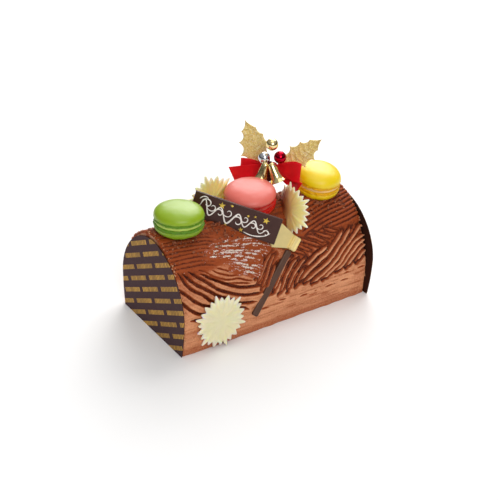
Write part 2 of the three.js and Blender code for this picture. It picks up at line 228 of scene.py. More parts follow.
def make_piece(name, shape, material, stands_for=(), values=None, uv=None, sharp=None):
    """A finished piece: a mesh in metres from millimetre points and faces, with its point attributes and
    UV map, riding on the cake's one body and standing for the named CAD nodes."""
    points, faces = shape
    points = np.asarray(points, dtype=float)
    faces = outward(points, faces)
    mesh = bpy.data.meshes.new(name)
    mesh.vertices.add(len(points))
    mesh.vertices.foreach_set("co", (points * MM).astype(np.float32).ravel())
    sizes = np.concatenate([np.full(len(group), group.shape[1]) for group in faces])
    order = np.concatenate([group.ravel() for group in faces]).astype(np.int32)
    mesh.loops.add(len(order))
    mesh.loops.foreach_set("vertex_index", order)
    mesh.polygons.add(len(sizes))
    mesh.polygons.foreach_set("loop_start", np.concatenate([[0], np.cumsum(sizes)[:-1]]).astype(np.int32))
    mesh.polygons.foreach_set("use_smooth", np.ones(len(sizes), dtype=bool))
    if uv is not None:
        layer = mesh.uv_layers.new(name="UVMap")
        layer.data.foreach_set("uv", np.asarray(uv)[order].astype(np.float32).ravel())
    for key, field in (values or {}).items():
        attribute = mesh.attributes.new(key, "FLOAT", "POINT")
        attribute.data.foreach_set("value", np.asarray(field, dtype=np.float32))
    mesh.update(calc_edges=True)
    if mesh.validate(clean_customdata=False):
        raise RuntimeError(f"{name} has a face that isn't valid")
    if sharp:
        mesh.set_sharp_from_angle(angle=math.radians(sharp))
    mesh.materials.append(material)
    piece = bpy.data.objects.new(name, mesh)
    bpy.context.scene.collection.objects.link(piece)
    if stands_for:
        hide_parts(*stands_for)
    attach(piece, "root")
    return piece


def round_edges(piece, width, segments=3):
    """A bevel of the given width in millimetres on a piece's sharp edges."""
    bevel = piece.modifiers.new("rounded edges", "BEVEL")
    bevel.width = width * MM
    bevel.segments = segments
    bevel.limit_method = "ANGLE"
    bevel.angle_limit = math.radians(35)
    bevel.harden_normals = True


# ---- building finishes ----
def linear(hex_colour):
    """An sRGB hex colour as linear red, green, blue and alpha."""
    parts = [int(hex_colour[i : i + 2], 16) / 255 for i in (1, 3, 5)]
    return tuple(c / 12.92 if c <= 0.04045 else ((c + 0.055) / 1.055) ** 2.4 for c in parts) + (1.0,)


def per(millimetres):
    """A texture's scale on coordinates in metres, for details of this size."""
    return 1 / (millimetres * MM)


def add_node(tree, kind, inputs=None, **fields):
    """Adds a node, sets its fields, and gives each named input a value or a link from a socket."""
    node = tree.nodes.new(kind)
    for name, value in fields.items():
        setattr(node, name, value)
    for key, value in (inputs or {}).items():
        if isinstance(value, bpy.types.NodeSocket):
            tree.links.new(value, node.inputs[key])
        else:
            node.inputs[key].default_value = value
    return node


def set_ramp(node, stops):
    """Gives a colour ramp its stops, from (position, linear colour) pairs."""
    elements = node.color_ramp.elements
    while len(elements) < len(stops):
        elements.new(1.0)
    for element, (position, colour) in zip(elements, stops):
        element.position = position
        element.color = colour


def blank_material(name):
    """A material with an empty node tree."""
    material = bpy.data.materials.new(name)
    material.use_nodes = True
    material.node_tree.nodes.clear()
    return material


def close_material(material, inputs):
    """Ends a material's tree in one principled shader with the given inputs."""
    tree = material.node_tree
    shader = add_node(tree, "ShaderNodeBsdfPrincipled", inputs)
    add_node(tree, "ShaderNodeOutputMaterial", {"Surface": shader.outputs["BSDF"]})
    return material


def whipped_cream_finish(settings):
    """Chocolate cream, whipped and combed: pale and softly glossy on the ridges, deep brown in the grooves
    where the comb dug into it, partly the cream's own darker colour and partly painted shade, with fine
    air holes and, where it is dusted, a bloom of sugar."""
    material = blank_material("whipped_chocolate_cream")
    tree = material.node_tree
    spot = add_node(tree, "ShaderNodeTexCoord").outputs["Object"]
    tone = add_node(tree, "ShaderNodeAttribute", attribute_name="tone").outputs["Fac"]
    sugar = add_node(tree, "ShaderNodeAttribute", attribute_name="sugar").outputs["Fac"]
    # air holes and cocoa grains, about 1 mm
    grain = add_node(tree, "ShaderNodeTexNoise", {"Vector": spot, "Scale": per(1.1), "Detail": 4.0})
    mottle = add_node(tree, "ShaderNodeMath", {0: grain.outputs["Fac"], 1: 0.5}, operation="SUBTRACT")
    shift = add_node(
        tree, "ShaderNodeMath", {0: mottle.outputs[0], 1: 0.46, 2: tone}, operation="MULTIPLY_ADD")
    ramp = add_node(tree, "ShaderNodeValToRGB", {"Fac": shift.outputs[0]})
    set_ramp(ramp, [
        (0.0, settings.groove), (0.25, settings.crown), (0.55, settings.flank), (1.0, settings.ridge)])
    # single sugar grains, drawn at 0.7 mm so that they show
    dust = add_node(tree, "ShaderNodeTexVoronoi", {"Vector": spot, "Scale": per(0.75)})
    spread = add_node(tree, "ShaderNodeMath", {0: dust.outputs["Distance"], 1: 0.55}, operation="LESS_THAN")
    amount = add_node(tree, "ShaderNodeMath", {0: sugar, 1: spread.outputs[0]}, operation="MULTIPLY")
    white = add_node(
        tree, "ShaderNodeMix", {0: amount.outputs[0], 6: ramp.outputs["Color"], 7: settings.sugar},
        data_type="RGBA")
    fine = add_node(tree, "ShaderNodeTexNoise", {"Vector": spot, "Scale": per(0.6), "Detail": 3.0})
    bump = add_node(
        tree, "ShaderNodeBump", {"Height": fine.outputs["Fac"], "Strength": 0.55, "Distance": 0.0005})
    return close_material(material, {
        "Base Color": white.outputs[2],
        "Roughness": 0.6,
        "IOR": 1.46,
        "Specular IOR Level": 0.25,
        "Subsurface Weight": 0.08,
        "Subsurface Radius": (0.004, 0.0015, 0.0008),
        "Subsurface Scale": 0.4,
        "Normal": bump.outputs["Normal"],
    })


def printed_card_finish(settings):
    """Coated card, dark with rows of gold blocks printed across it: flat and smooth, with a foil's glint
    where it is printed."""
    material = blank_material("coated_card_gold_print")
    tree = material.node_tree
    spot = add_node(tree, "ShaderNodeTexCoord").outputs["Object"]
    # rows climb towards the front; the pattern lies in the card's own YZ plane
    lie = add_node(
        tree, "ShaderNodeMapping",
        {"Vector": spot, "Rotation": (math.radians(settings.row_slope), 0.0, 0.0)})
    split = add_node(tree, "ShaderNodeSeparateXYZ", {"Vector": lie.outputs["Vector"]})
    flat = add_node(tree, "ShaderNodeCombineXYZ", {"X": split.outputs["Y"], "Y": split.outputs["Z"]})
    unit = 40.0
    bars = add_node(tree, "ShaderNodeTexBrick", {
        "Vector": flat.outputs["Vector"],
        "Color1": (1.0, 1.0, 1.0, 1.0),
        "Color2": (0.9, 0.9, 0.9, 1.0),
        "Mortar": (0.0, 0.0, 0.0, 1.0),
        "Scale": unit,
        "Mortar Size": 2.7 * MM * unit,
        "Mortar Smooth": 0.0,
        "Brick Width": 31 * MM * unit,
        "Row Height": settings.row_pitch * unit,
    }, offset=0.5)
    blocks = add_node(tree, "ShaderNodeTexBrick", {
        "Vector": flat.outputs["Vector"],
        "Color1": (1.0, 1.0, 1.0, 1.0),
        "Color2": (0.55, 0.55, 0.55, 1.0),
        "Mortar": (0.2, 0.2, 0.2, 1.0),
        "Scale": unit,
        "Mortar Size": 0.36 * MM * unit,
        "Mortar Smooth": 0.0,
        "Brick Width": 2.35 * MM * unit,
        "Row Height": settings.row_pitch * unit,
    }, offset=0.0)
    print_mask = add_node(
        tree, "ShaderNodeMath", {0: bars.outputs["Color"], 1: blocks.outputs["Color"]}, operation="MULTIPLY")
    # the print is on a card's outer face alone, more than 87.3 mm from the middle of the log
    place = add_node(tree, "ShaderNodeSeparateXYZ", {"Vector": spot})
    depth = add_node(tree, "ShaderNodeMath", {0: place.outputs["X"]}, operation="ABSOLUTE")
    outer = add_node(
        tree, "ShaderNodeMath", {0: depth.outputs[0], 1: 87.3 * MM}, operation="GREATER_THAN")
    print_mask = add_node(
        tree, "ShaderNodeMath", {0: print_mask.outputs[0], 1: outer.outputs[0]}, operation="MULTIPLY")
    fibre = add_node(tree, "ShaderNodeTexNoise", {"Vector": spot, "Scale": per(1.6), "Detail": 3.0})
    stock = add_node(tree, "ShaderNodeMix", {
        0: fibre.outputs["Fac"],
        6: settings.card_dark,
        7: settings.card_light,
    }, data_type="RGBA")
    sides = add_node(tree, "ShaderNodeMix", {
        0: outer.outputs[0],
        6: settings.card_inner,
        7: stock.outputs[2],
    }, data_type="RGBA")
    inked = add_node(tree, "ShaderNodeMix", {
        0: print_mask.outputs[0],
        6: sides.outputs[2],
        7: settings.print,
    }, data_type="RGBA")
    gloss = add_node(
        tree, "ShaderNodeMapRange", {"Value": print_mask.outputs[0], "To Min": 0.75, "To Max": 0.5})
    return close_material(material, {
        "Base Color": inked.outputs[2],
        "Roughness": gloss.outputs["Result"],
        "IOR": 1.5,
        "Specular IOR Level": 0.05,
    })


def meringue_finish(name, colour, deep):
    """An almond meringue shell, piped and baked: a dull, slightly lumpy skin with specks of ground almond in
    the deep colour, and a rough open foot. The deep colour is also painted shade, on the foot and over a
    lower shell."""
    material = blank_material(name)
    tree = material.node_tree
    spot = add_node(tree, "ShaderNodeTexCoord").outputs["Object"]
    foot = add_node(tree, "ShaderNodeAttribute", attribute_name="foot").outputs["Fac"]
    cloud = add_node(tree, "ShaderNodeTexNoise", {"Vector": spot, "Scale": per(7), "Detail": 3.0})
    speck = add_node(tree, "ShaderNodeTexVoronoi", {"Vector": spot, "Scale": per(0.9)})
    near = add_node(tree, "ShaderNodeMapRange", {
        "Value": speck.outputs["Distance"], "From Min": 0.12, "From Max": 0.3, "To Min": 0.3, "To Max": 0.0})
    # painted shade: the foot mark, raised over lower shells, mixes in the deep colour
    base = add_node(tree, "ShaderNodeMix", {
        0: foot,
        6: colour,
        7: deep,
    }, data_type="RGBA")
    worn = add_node(
        tree, "ShaderNodeMath", {0: cloud.outputs["Fac"], 1: near.outputs["Result"]}, operation="MULTIPLY")
    skin = add_node(tree, "ShaderNodeMix", {
        0: worn.outputs[0],
        6: base.outputs[2],
        7: deep,
    }, data_type="RGBA")
    open_crumb = add_node(tree, "ShaderNodeTexVoronoi", {"Vector": spot, "Scale": per(1.0)})
    pores = add_node(
        tree, "ShaderNodeMath", {0: open_crumb.outputs["Distance"], 1: foot}, operation="MULTIPLY")
    fine = add_node(tree, "ShaderNodeTexNoise", {"Vector": spot, "Scale": per(0.8), "Detail": 3.0})
    height = add_node(
        tree, "ShaderNodeMath", {0: fine.outputs["Fac"], 1: 0.25, 2: pores.outputs[0]},
        operation="MULTIPLY_ADD")
    bump = add_node(
        tree, "ShaderNodeBump", {"Height": height.outputs[0], "Strength": 0.5, "Distance": 0.0004})
    glaze = add_node(tree, "ShaderNodeMapRange", {"Value": foot, "To Min": 0.48, "To Max": 0.0})
    return close_material(material, {
        "Base Color": skin.outputs[2],
        "Roughness": 0.42,
        "IOR": 1.45,
        "Specular IOR Level": 0.35,
        "Coat Weight": glaze.outputs["Result"],
        "Coat Roughness": 0.36,
        "Subsurface Weight": 0.1,
        "Subsurface Radius": (0.004, 0.0025, 0.0012),
        "Subsurface Scale": 0.5,
        "Normal": bump.outputs["Normal"],
    })


def filling_finish(name, colour):
    """Buttercream pressed between two shells: pale, matt and a little uneven."""
    material = blank_material(name)
    tree = material.node_tree
    spot = add_node(tree, "ShaderNodeTexCoord").outputs["Object"]
    cloud = add_node(tree, "ShaderNodeTexNoise", {"Vector": spot, "Scale": per(2.2), "Detail": 3.0})
    tint = add_node(tree, "ShaderNodeHueSaturation", {"Color": colour})
    tree.links.new(
        add_node(tree, "ShaderNodeMapRange", {
            "Value": cloud.outputs["Fac"], "To Min": 0.8, "To Max": 1.15}).outputs["Result"],
        tint.inputs["Value"])
    bump = add_node(
        tree, "ShaderNodeBump", {"Height": cloud.outputs["Fac"], "Strength": 0.3, "Distance": 0.0004})
    return close_material(material, {
        "Base Color": tint.outputs["Color"],
        "Roughness": 0.55,
        "IOR": 1.46,
        "Subsurface Weight": 0.15,
        "Subsurface Scale": 0.001,
        "Normal": bump.outputs["Normal"],
    })


def moulded_chocolate_finish(name, colour, light, roughness):
    """Tempered chocolate set in a mould: a tight satin skin with faint clouds of cocoa butter."""
    material = blank_material(name)
    tree = material.node_tree
    spot = add_node(tree, "ShaderNodeTexCoord").outputs["Object"]
    cloud = add_node(tree, "ShaderNodeTexNoise", {"Vector": spot, "Scale": per(5), "Detail": 4.0})
    mixed = add_node(tree, "ShaderNodeMix", {
        0: cloud.outputs["Fac"],
        6: colour,
        7: light,
    }, data_type="RGBA")
    fine = add_node(tree, "ShaderNodeTexNoise", {"Vector": spot, "Scale": per(0.9), "Detail": 2.0})
    bump = add_node(
        tree, "ShaderNodeBump", {"Height": fine.outputs["Fac"], "Strength": 0.18, "Distance": 0.0002})
    return close_material(material, {
        "Base Color": mixed.outputs[2],
        "Roughness": roughness,
        "IOR": 1.5,
        "Specular IOR Level": 0.3,
        "Normal": bump.outputs["Normal"],
    })


def white_chocolate_finish(settings):
    """White chocolate cast thin in a toothed mould: pale ivory that lets light through, warmer and whiter
    at its thin teeth. A painted warm yellow glow stands in for light shining through some plates, and
    painted brown shade darkens the side of the curled plate that turns away from the light."""
    material = blank_material("cast_white_chocolate")
    tree = material.node_tree
    spot = add_node(tree, "ShaderNodeTexCoord").outputs["Object"]
    edge = add_node(tree, "ShaderNodeAttribute", attribute_name="edge").outputs["Fac"]
    cloud = add_node(tree, "ShaderNodeTexNoise", {"Vector": spot, "Scale": per(6), "Detail": 3.0})
    body = add_node(tree, "ShaderNodeMix", {
        0: cloud.outputs["Fac"],
        6: settings.ivory,
        7: settings.ivory_shade,
    }, data_type="RGBA")
    mixed = add_node(tree, "ShaderNodeMix", {
        0: edge,
        6: body.outputs[2],
        7: settings.tooth,
    }, data_type="RGBA")
    # painted glow: a warmer yellow mixed in, standing in for light that shines through the plate
    painted_glow = add_node(tree, "ShaderNodeAttribute", attribute_name="painted_glow").outputs["Fac"]
    glowing = add_node(tree, "ShaderNodeMix", {
        0: painted_glow,
        6: mixed.outputs[2],
        7: settings.butter,
    }, data_type="RGBA")
    # painted shade: brown mixed in where the curled plate turns away from the light
    painted_shade = add_node(tree, "ShaderNodeAttribute", attribute_name="painted_shade").outputs["Fac"]
    rubbed = add_node(tree, "ShaderNodeMix", {
        0: painted_shade,
        6: glowing.outputs[2],
        7: settings.painted_shade,
    }, data_type="RGBA")
    fine = add_node(tree, "ShaderNodeTexNoise", {"Vector": spot, "Scale": per(1.2), "Detail": 2.0})
    bump = add_node(
        tree, "ShaderNodeBump", {"Height": fine.outputs["Fac"], "Strength": 0.25, "Distance": 0.0003})
    return close_material(material, {
        "Base Color": rubbed.outputs[2],
        "Roughness": 0.42,
        "IOR": 1.46,
        "Subsurface Weight": 0.75,
        "Subsurface Radius": (0.006, 0.0045, 0.0016),
        "Subsurface Scale": 0.7,
        "Normal": bump.outputs["Normal"],
    })


def foil_finish(name, colour, roughness, metal=1.0):
    """Metal vapour on a blown plastic shell: a clear mirror with faint ripples."""
    material = blank_material(name)
    tree = material.node_tree
    spot = add_node(tree, "ShaderNodeTexCoord").outputs["Object"]
    ripple = add_node(tree, "ShaderNodeTexNoise", {"Vector": spot, "Scale": per(4), "Detail": 2.0})
    bump = add_node(
        tree, "ShaderNodeBump", {"Height": ripple.outputs["Fac"], "Strength": 0.12, "Distance": 0.0003})
    tint = add_node(tree, "ShaderNodeHueSaturation", {"Color": colour})
    tree.links.new(
        add_node(tree, "ShaderNodeMapRange", {
            "Value": ripple.outputs["Fac"], "To Min": 0.92, "To Max": 1.08}).outputs["Result"],
        tint.inputs["Value"])
    return close_material(material, {
        "Base Color": tint.outputs["Color"],
        "Metallic": metal,
        "Roughness": roughness,
        "Normal": bump.outputs["Normal"],
    })


def glitter_finish(settings):
    """Glitter glued on a plastic leaf: flat metal flakes that each face their own way. The flakes are
    drawn 0.7 mm wide, coarser than the real ones, so that they show."""
    material = blank_material("glued_gold_glitter")
    tree = material.node_tree
    spot = add_node(tree, "ShaderNodeTexCoord").outputs["Object"]
    flakes = add_node(tree, "ShaderNodeTexVoronoi", {"Vector": spot, "Scale": per(0.7)})
    each = add_node(tree, "ShaderNodeSeparateColor", {"Color": flakes.outputs["Color"]})
    ramp = add_node(tree, "ShaderNodeValToRGB", {"Fac": each.outputs["Red"]})
    set_ramp(ramp, [(0.0, settings.glitter_dark), (0.5, settings.glitter), (1.0, settings.glitter_light)])
    cloud = add_node(tree, "ShaderNodeTexNoise", {"Vector": spot, "Scale": per(6), "Detail": 2.0})
    warm = add_node(tree, "ShaderNodeMix", {
        0: cloud.outputs["Fac"],
        6: ramp.outputs["Color"],
        7: settings.glitter,
    }, data_type="RGBA")
    bump = add_node(
        tree, "ShaderNodeBump", {"Height": each.outputs["Green"], "Strength": 0.7, "Distance": 0.0004})
    return close_material(material, {
        "Base Color": warm.outputs[2],
        "Metallic": 0.15,
        "Roughness": 0.42,
        "Normal": bump.outputs["Normal"],
    })


def satin_finish(settings):
    """Polyester satin ribbon, woven: long floats along its length give a soft streak of light across it,
    between two slightly raised selvedges."""
    material = blank_material("woven_satin_ribbon")
    tree = material.node_tree
    uv = add_node(tree, "ShaderNodeUVMap", uv_map="UVMap").outputs["UV"]
    # the weave's cross threads, 0.35 mm apart, in UV units of a millimetre
    threads = add_node(
        tree, "ShaderNodeTexWave", {"Vector": uv, "Scale": 0.9, "Distortion": 0.6, "Detail": 1.0},
        wave_type="BANDS", bands_direction="X")
    # painted shade: noise darkens the red in patches that stand for shaded folds
    fold = add_node(tree, "ShaderNodeTexNoise", {"Vector": uv, "Scale": 0.16, "Detail": 2.0})
    shade = add_node(tree, "ShaderNodeMix", {
        0: fold.outputs["Fac"],
        6: settings.ribbon_fold_shade,
        7: settings.ribbon,
    }, data_type="RGBA")
    bump = add_node(
        tree, "ShaderNodeBump", {"Height": threads.outputs["Fac"], "Strength": 0.12, "Distance": 0.0001})
    return close_material(material, {
        "Base Color": shade.outputs[2],
        "Roughness": 0.5,
        "IOR": 1.4,
        "Specular IOR Level": 0.3,
        "Anisotropic": 0.4,
        "Normal": bump.outputs["Normal"],
    })


def sugar_finish():
    """Coarse white sugar: small clear crystals that scatter to white, with bright facets."""
    material = blank_material("coarse_sugar_crystals")
    tree = material.node_tree
    spot = add_node(tree, "ShaderNodeTexCoord").outputs["Object"]
    cloud = add_node(tree, "ShaderNodeTexNoise", {"Vector": spot, "Scale": per(3)})
    mixed = add_node(tree, "ShaderNodeMix", {
        0: cloud.outputs["Fac"],
        6: linear("#fff6ee"),
        7: linear("#f4ded0"),
    }, data_type="RGBA")
    return close_material(material, {
        "Base Color": mixed.outputs[2],
        "Roughness": 0.25,
        "IOR": 1.54,
        "Subsurface Weight": 0.3,
        "Subsurface Scale": 0.001,
    })


def crumb_finish(name, dark, light):
    """Crumbs rubbed off cream and sponge: dry, rough and each a little different."""
    material = blank_material(name)
    tree = material.node_tree
    spot = add_node(tree, "ShaderNodeTexCoord").outputs["Object"]
    cloud = add_node(tree, "ShaderNodeTexNoise", {"Vector": spot, "Scale": per(1.5), "Detail": 2.0})
    ramp = add_node(tree, "ShaderNodeValToRGB", {"Fac": cloud.outputs["Fac"]})
    set_ramp(ramp, [(0.35, dark), (0.7, light)])
    return close_material(material, {
        "Base Color": ramp.outputs["Color"],
        "Roughness": 0.7,
        "IOR": 1.45,
    })


# ---- the log ----
LOG = {"half_length": 86.5, "rounding": 1.6, "crown_power": 1.08}
# half width, shoulder, height and half foot of the section at each end, and of the cards
NEAR_SECTION = np.array([44.8, 24.7, 81.5, 43.8])
FAR_SECTION = np.array([43.2, 21.4, 81.6, 43.0])
CARD_SECTION = np.array([45.0, 30.8, 77.8, 42.4])

# The comb's lines as [along the log, down the surface from its crown] in millimetres, positive to the front.
LEFT_GROOVES = [
    [(-66, 42), (-54, 50.5), (-42, 57.7), (-34, 60.8), (-24, 63.2), (-15, 64.3)],
    [(-75, 38), (-63, 49), (-55.5, 56), (-47, 61.4), (-37, 66), (-28, 68.6), (-16, 70.6)],
    [(-80, 38), (-73, 47), (-67, 52), (-61, 57), (-54, 62.6), (-45, 68), (-36, 73), (-28, 75), (-22, 76)],
    [(-83, 37), (-79, 47), (-73, 53.5), (-67, 58), (-61.5, 64), (-50, 72), (-35, 77.6), (-29, 80.6)],
    [(-89, 46), (-81, 54), (-76, 59.6), (-70, 64), (-62, 68.6), (-54, 72)],
    [(-89, 55), (-83, 62), (-78, 67), (-72, 71), (-65, 73.5)],
    [(-80, 74.2), (-75, 75), (-71, 74.6)],
]
LEFT_FINE = [
    [(-61, 43), (-52, 49), (-43.5, 52.4), (-36, 53.6), (-28, 57), (-22, 58.4)],
    [(-58, 40.5), (-50, 46.2), (-43, 49.4), (-36, 51), (-30, 53)],
    [(-54, 39.5), (-48, 43.4), (-42, 46.4), (-38, 47.6)],
    [(-69, 38), (-62, 41.5), (-57, 45.5), (-51, 49.8)],
    [(-60, 46.5), (-52, 52), (-43, 55.4), (-34, 57.4), (-25, 60.2)],
]
HANDLE_LEFT_RIDGES = [
    [(-22, 58), (-17, 52.3), (-12, 46), (-9, 42)],
    [(-20.5, 63), (-16, 57), (-10, 49), (-5, 44.5), (-1, 41)],
    [(-17, 68), (-11, 58.3), (-7, 52), (-3, 47), (1, 44)],
    [(-13.5, 71), (-9, 63.5), (-4.5, 56.5), (0, 51)],
]
HANDLE_RIGHT_RIDGES = [
    [(-10, 73), (-7, 67), (-3, 61), (1, 55.5), (5, 51)],
    [(-6, 73.5), (-4, 69), (0, 63.6), (4, 58), (7.6, 54), (10.6, 51.6), (16, 50)],
    [(-1, 76.5), (1.6, 73.5), (4, 68.4), (8, 62), (12.5, 57.6), (16, 54.6), (21, 52.6)],
    [(7, 76.5), (10.6, 69), (14, 64.2), (18.5, 60.6), (23, 57), (28.5, 54.4)],
    [(15, 75), (18, 68.5), (22, 64.4), (26, 61.4)],
]
RIGHT_RIDGES = [
    [(20, 65.5), (26.3, 60.8), (31, 58.2), (37, 55.2), (43, 53.4), (50, 50)],
    [(20, 70.8), (28.7, 64.9), (36, 61.8), (42, 58.9), (48, 56.3), (53, 52.8), (59, 49), (67, 42.5)],
    [(24, 73.5), (34.7, 69), (42, 66), (48, 63.6), (53, 60), (59, 55), (64, 51.6), (69, 47), (75, 42)],
    [(31, 76.5), (42, 72), (49, 68.4), (55, 64.9), (60, 60.6), (66, 55.8), (72, 52), (81, 45.6), (88, 41)],
    [(42, 76), (53, 70.2), (59, 67.6), (64, 63), (70, 58.2), (76, 54), (82, 51.6), (89, 50)],
    [(55, 73), (63, 69), (69, 63.8), (75, 60), (81, 56), (89, 53.8)],
    [(66, 72), (74, 65.5), (81, 60.6), (89, 57.5)],
    [(76, 70.5), (82, 65.6), (89, 62)],
]
HERRINGBONE = [
    [(15, 43.5), (22, 48.4), (28.5, 52)],
    [(20, 41.5), (27.5, 46.7), (34, 50.4)],
    [(25, 38.5), (33.5, 43.7), (40, 47.4), (44, 49)],
    [(32, 37.5), (38.3, 40.8), (43, 43.8), (49.5, 47)],
    [(40, 37), (48, 41.6), (53, 43.8), (57, 44.6)],
    [(50, 36), (57, 40.2), (63, 42)],
]
LOWER_DASHES = [
    [(51, 77.6), (54, 77.2), (57, 77.4)],
    [(61, 77.2), (66, 76.8), (71, 77)],
    [(75, 76.6), (81, 76.2), (87, 76.4)],
    [(42, 84.2), (49, 83.8), (55, 84.1)],
    [(58, 83.5), (64, 83.1), (71, 83.4)],
    [(17, 85.2), (24, 84.8), (30, 85)],
    [(31, 84.8), (35, 84.4), (39, 84.7)],
    [(18, 80.1), (20, 79.7), (22, 79.9)],
    [(-20, 84), (-14, 84.6), (-8, 84.4)],
    [(-4, 81), (2, 81.8), (8, 81.6)],
]
SUGAR_STREAKS = [
    [(-44, 23.4), (-34, 25.2), (-24, 26.4), (-12, 28.2)],
    [(-50, 25.8), (-42, 27.2), (-34, 29), (-25, 30.4), (-14, 32.6), (-4, 36)],
    [(-54, 28.4), (-42, 31), (-34, 32.8), (-20, 36.6), (-8, 40.4)],
    [(-50, 30.2), (-40, 32.8), (-30, 35.4), (-20, 38.8), (-12, 41.6)],
    [(-57, 32), (-47, 34.2), (-40, 35.8), (-30, 38), (-23, 41), (-14, 44.6)],
    [(-46, 36.2), (-38, 38.2), (-29, 41.2), (-20, 44.6)],
    [(-40, 40), (-31, 43.6), (-25, 46.2), (-15, 49.6)],
    [(-34, 44), (-27, 47.4), (-19, 50.6)],
    [(-40, 45), (-34, 48), (-27, 51), (-18, 54.4)],
]


def comb(path, teeth, pitch, width_share=0.5):
    """The lines that a comb's teeth leave: the path and its copies, each moved sideways by whole pitches
    about the path's middle."""
    path = np.asarray(path, dtype=float)
    run = np.gradient(path, axis=0)
    run /= np.linalg.norm(run, axis=1)[:, None]
    side = np.stack([-run[:, 1], run[:, 0]], axis=1)
    shifts = (np.arange(teeth) - (teeth - 1) * width_share) * pitch
    return [path + side * shift for shift in shifts]


TOP_LEFT_GROOVES = comb([(-90, 23), (-74, 24), (-58, 26), (-46, 30)], 8, 3.1)
TOP_RIGHT_GROOVES = comb([(26, 30), (36, 26.5), (49, 23.4), (60, 21.6), (72, 20.4), (90, 17)], 9, 3.3, 0.42)
CROWN_GROOVES = comb([(-90, -4), (-40, -1), (0, -3), (45, 0), (90, -3)], 7, 3.6)
BACK_GROOVES = [
    *comb([(-90, -36), (-74, -46), (-52, -58), (-30, -65), (-14, -68)], 7, 5.2, 0.35),
    *comb([(-16, -44), (4, -52), (24, -62), (48, -68), (62, -69)], 7, 5.0, 0.4),
    *comb([(46, -38), (60, -47), (76, -56), (90, -60)], 6, 4.8, 0.35),
    *comb([(-30, -30), (-10, -33), (18, -37), (38, -36)], 4, 3.4),
    *comb([(60, -26), (74, -27), (90, -30)], 4, 3.2),
]


def comb_marks(lines, x, arc, margin):
    """How near each place on the surface is to the nearest line of a family. Towards a line's two ends the
    distance grows, which draws the line out to a point. Also gives the place along that line and the
    signed distance, which the fine streaks follow."""
    nearest = np.full(x.shape, float(margin))
    along = np.zeros(x.shape)
    for line in lines:
        path = smooth_path(line, spacing=0.45)
        low = path.min(axis=0) - margin
        high = path.max(axis=0) + margin
        inside = (x > low[0]) & (x < high[0]) & (arc > low[1]) & (arc < high[1])
        close = np.flatnonzero(inside)
        gaps = np.hypot(x[close, None] - path[:, 0], arc[close, None] - path[:, 1])
        best = gaps.argmin(axis=1)
        from_end = np.minimum(best, len(path) - 1 - best) * 0.45
        gap = gaps[np.arange(len(close)), best] + 0.9 * (1 - smoothstep(0, 5, from_end))
        better = gap < nearest[close]
        nearest[close[better]] = gap[better]
        along[close[better]] = best[better] * 0.45
    return nearest, along


def cut_grooves(state, lines, x, arc, width, depth, dark, lip=0.35, soft=0.45):
    """Grooves of the given width: inside, the cream sinks and darkens, partly the cream's own colour and
    partly painted shade; just beside, it swells to a lip.
    """
    height, tone = state
    gap, along = comb_marks(lines, x, arc, width / 2 + 3)
    streak = noise(pair(gap, along), (0.7, 11), seed=len(lines))
    core = 1 - smoothstep(width / 2 - soft, width / 2 + soft, gap)
    rim = (1 - smoothstep(width / 2, width / 2 + 2.4, gap)) * (1 - core)
    height = blend(height + lip * rim, height - depth * (1 + 0.2 * streak), core)
    tone = blend(tone + 0.12 * rim, dark + 0.05 * streak, core)
    return height, tone


def raise_ridges(state, lines, x, arc, width, reach, rise, light, dark, depth, soft=0.4):
    """Thin ridges left between wide grooves: within reach of a line the cream is dug out and dark, partly
    its own colour and partly painted shade, and on the line itself it stands up light."""
    height, tone = state
    gap, along = comb_marks(lines, x, arc, reach + 1.5)
    streak = noise(pair(gap, along), (0.6, 9), seed=50 + len(lines))
    ragged = noise(pair(x, arc), 2.6, seed=9) * 0.7
    valley = 1 - smoothstep(reach - 0.7, reach + 0.7, gap + ragged)
    core = 1 - smoothstep(width / 2 - soft, width / 2 + soft, gap)
    height = blend(height, -depth * (1 + 0.25 * streak), valley)
    tone = blend(tone, dark + 0.07 * streak, valley)
    height = blend(height, rise + 0.15 * streak, core)
    tone = blend(tone, light + 0.1 * streak, core)
    return height, tone


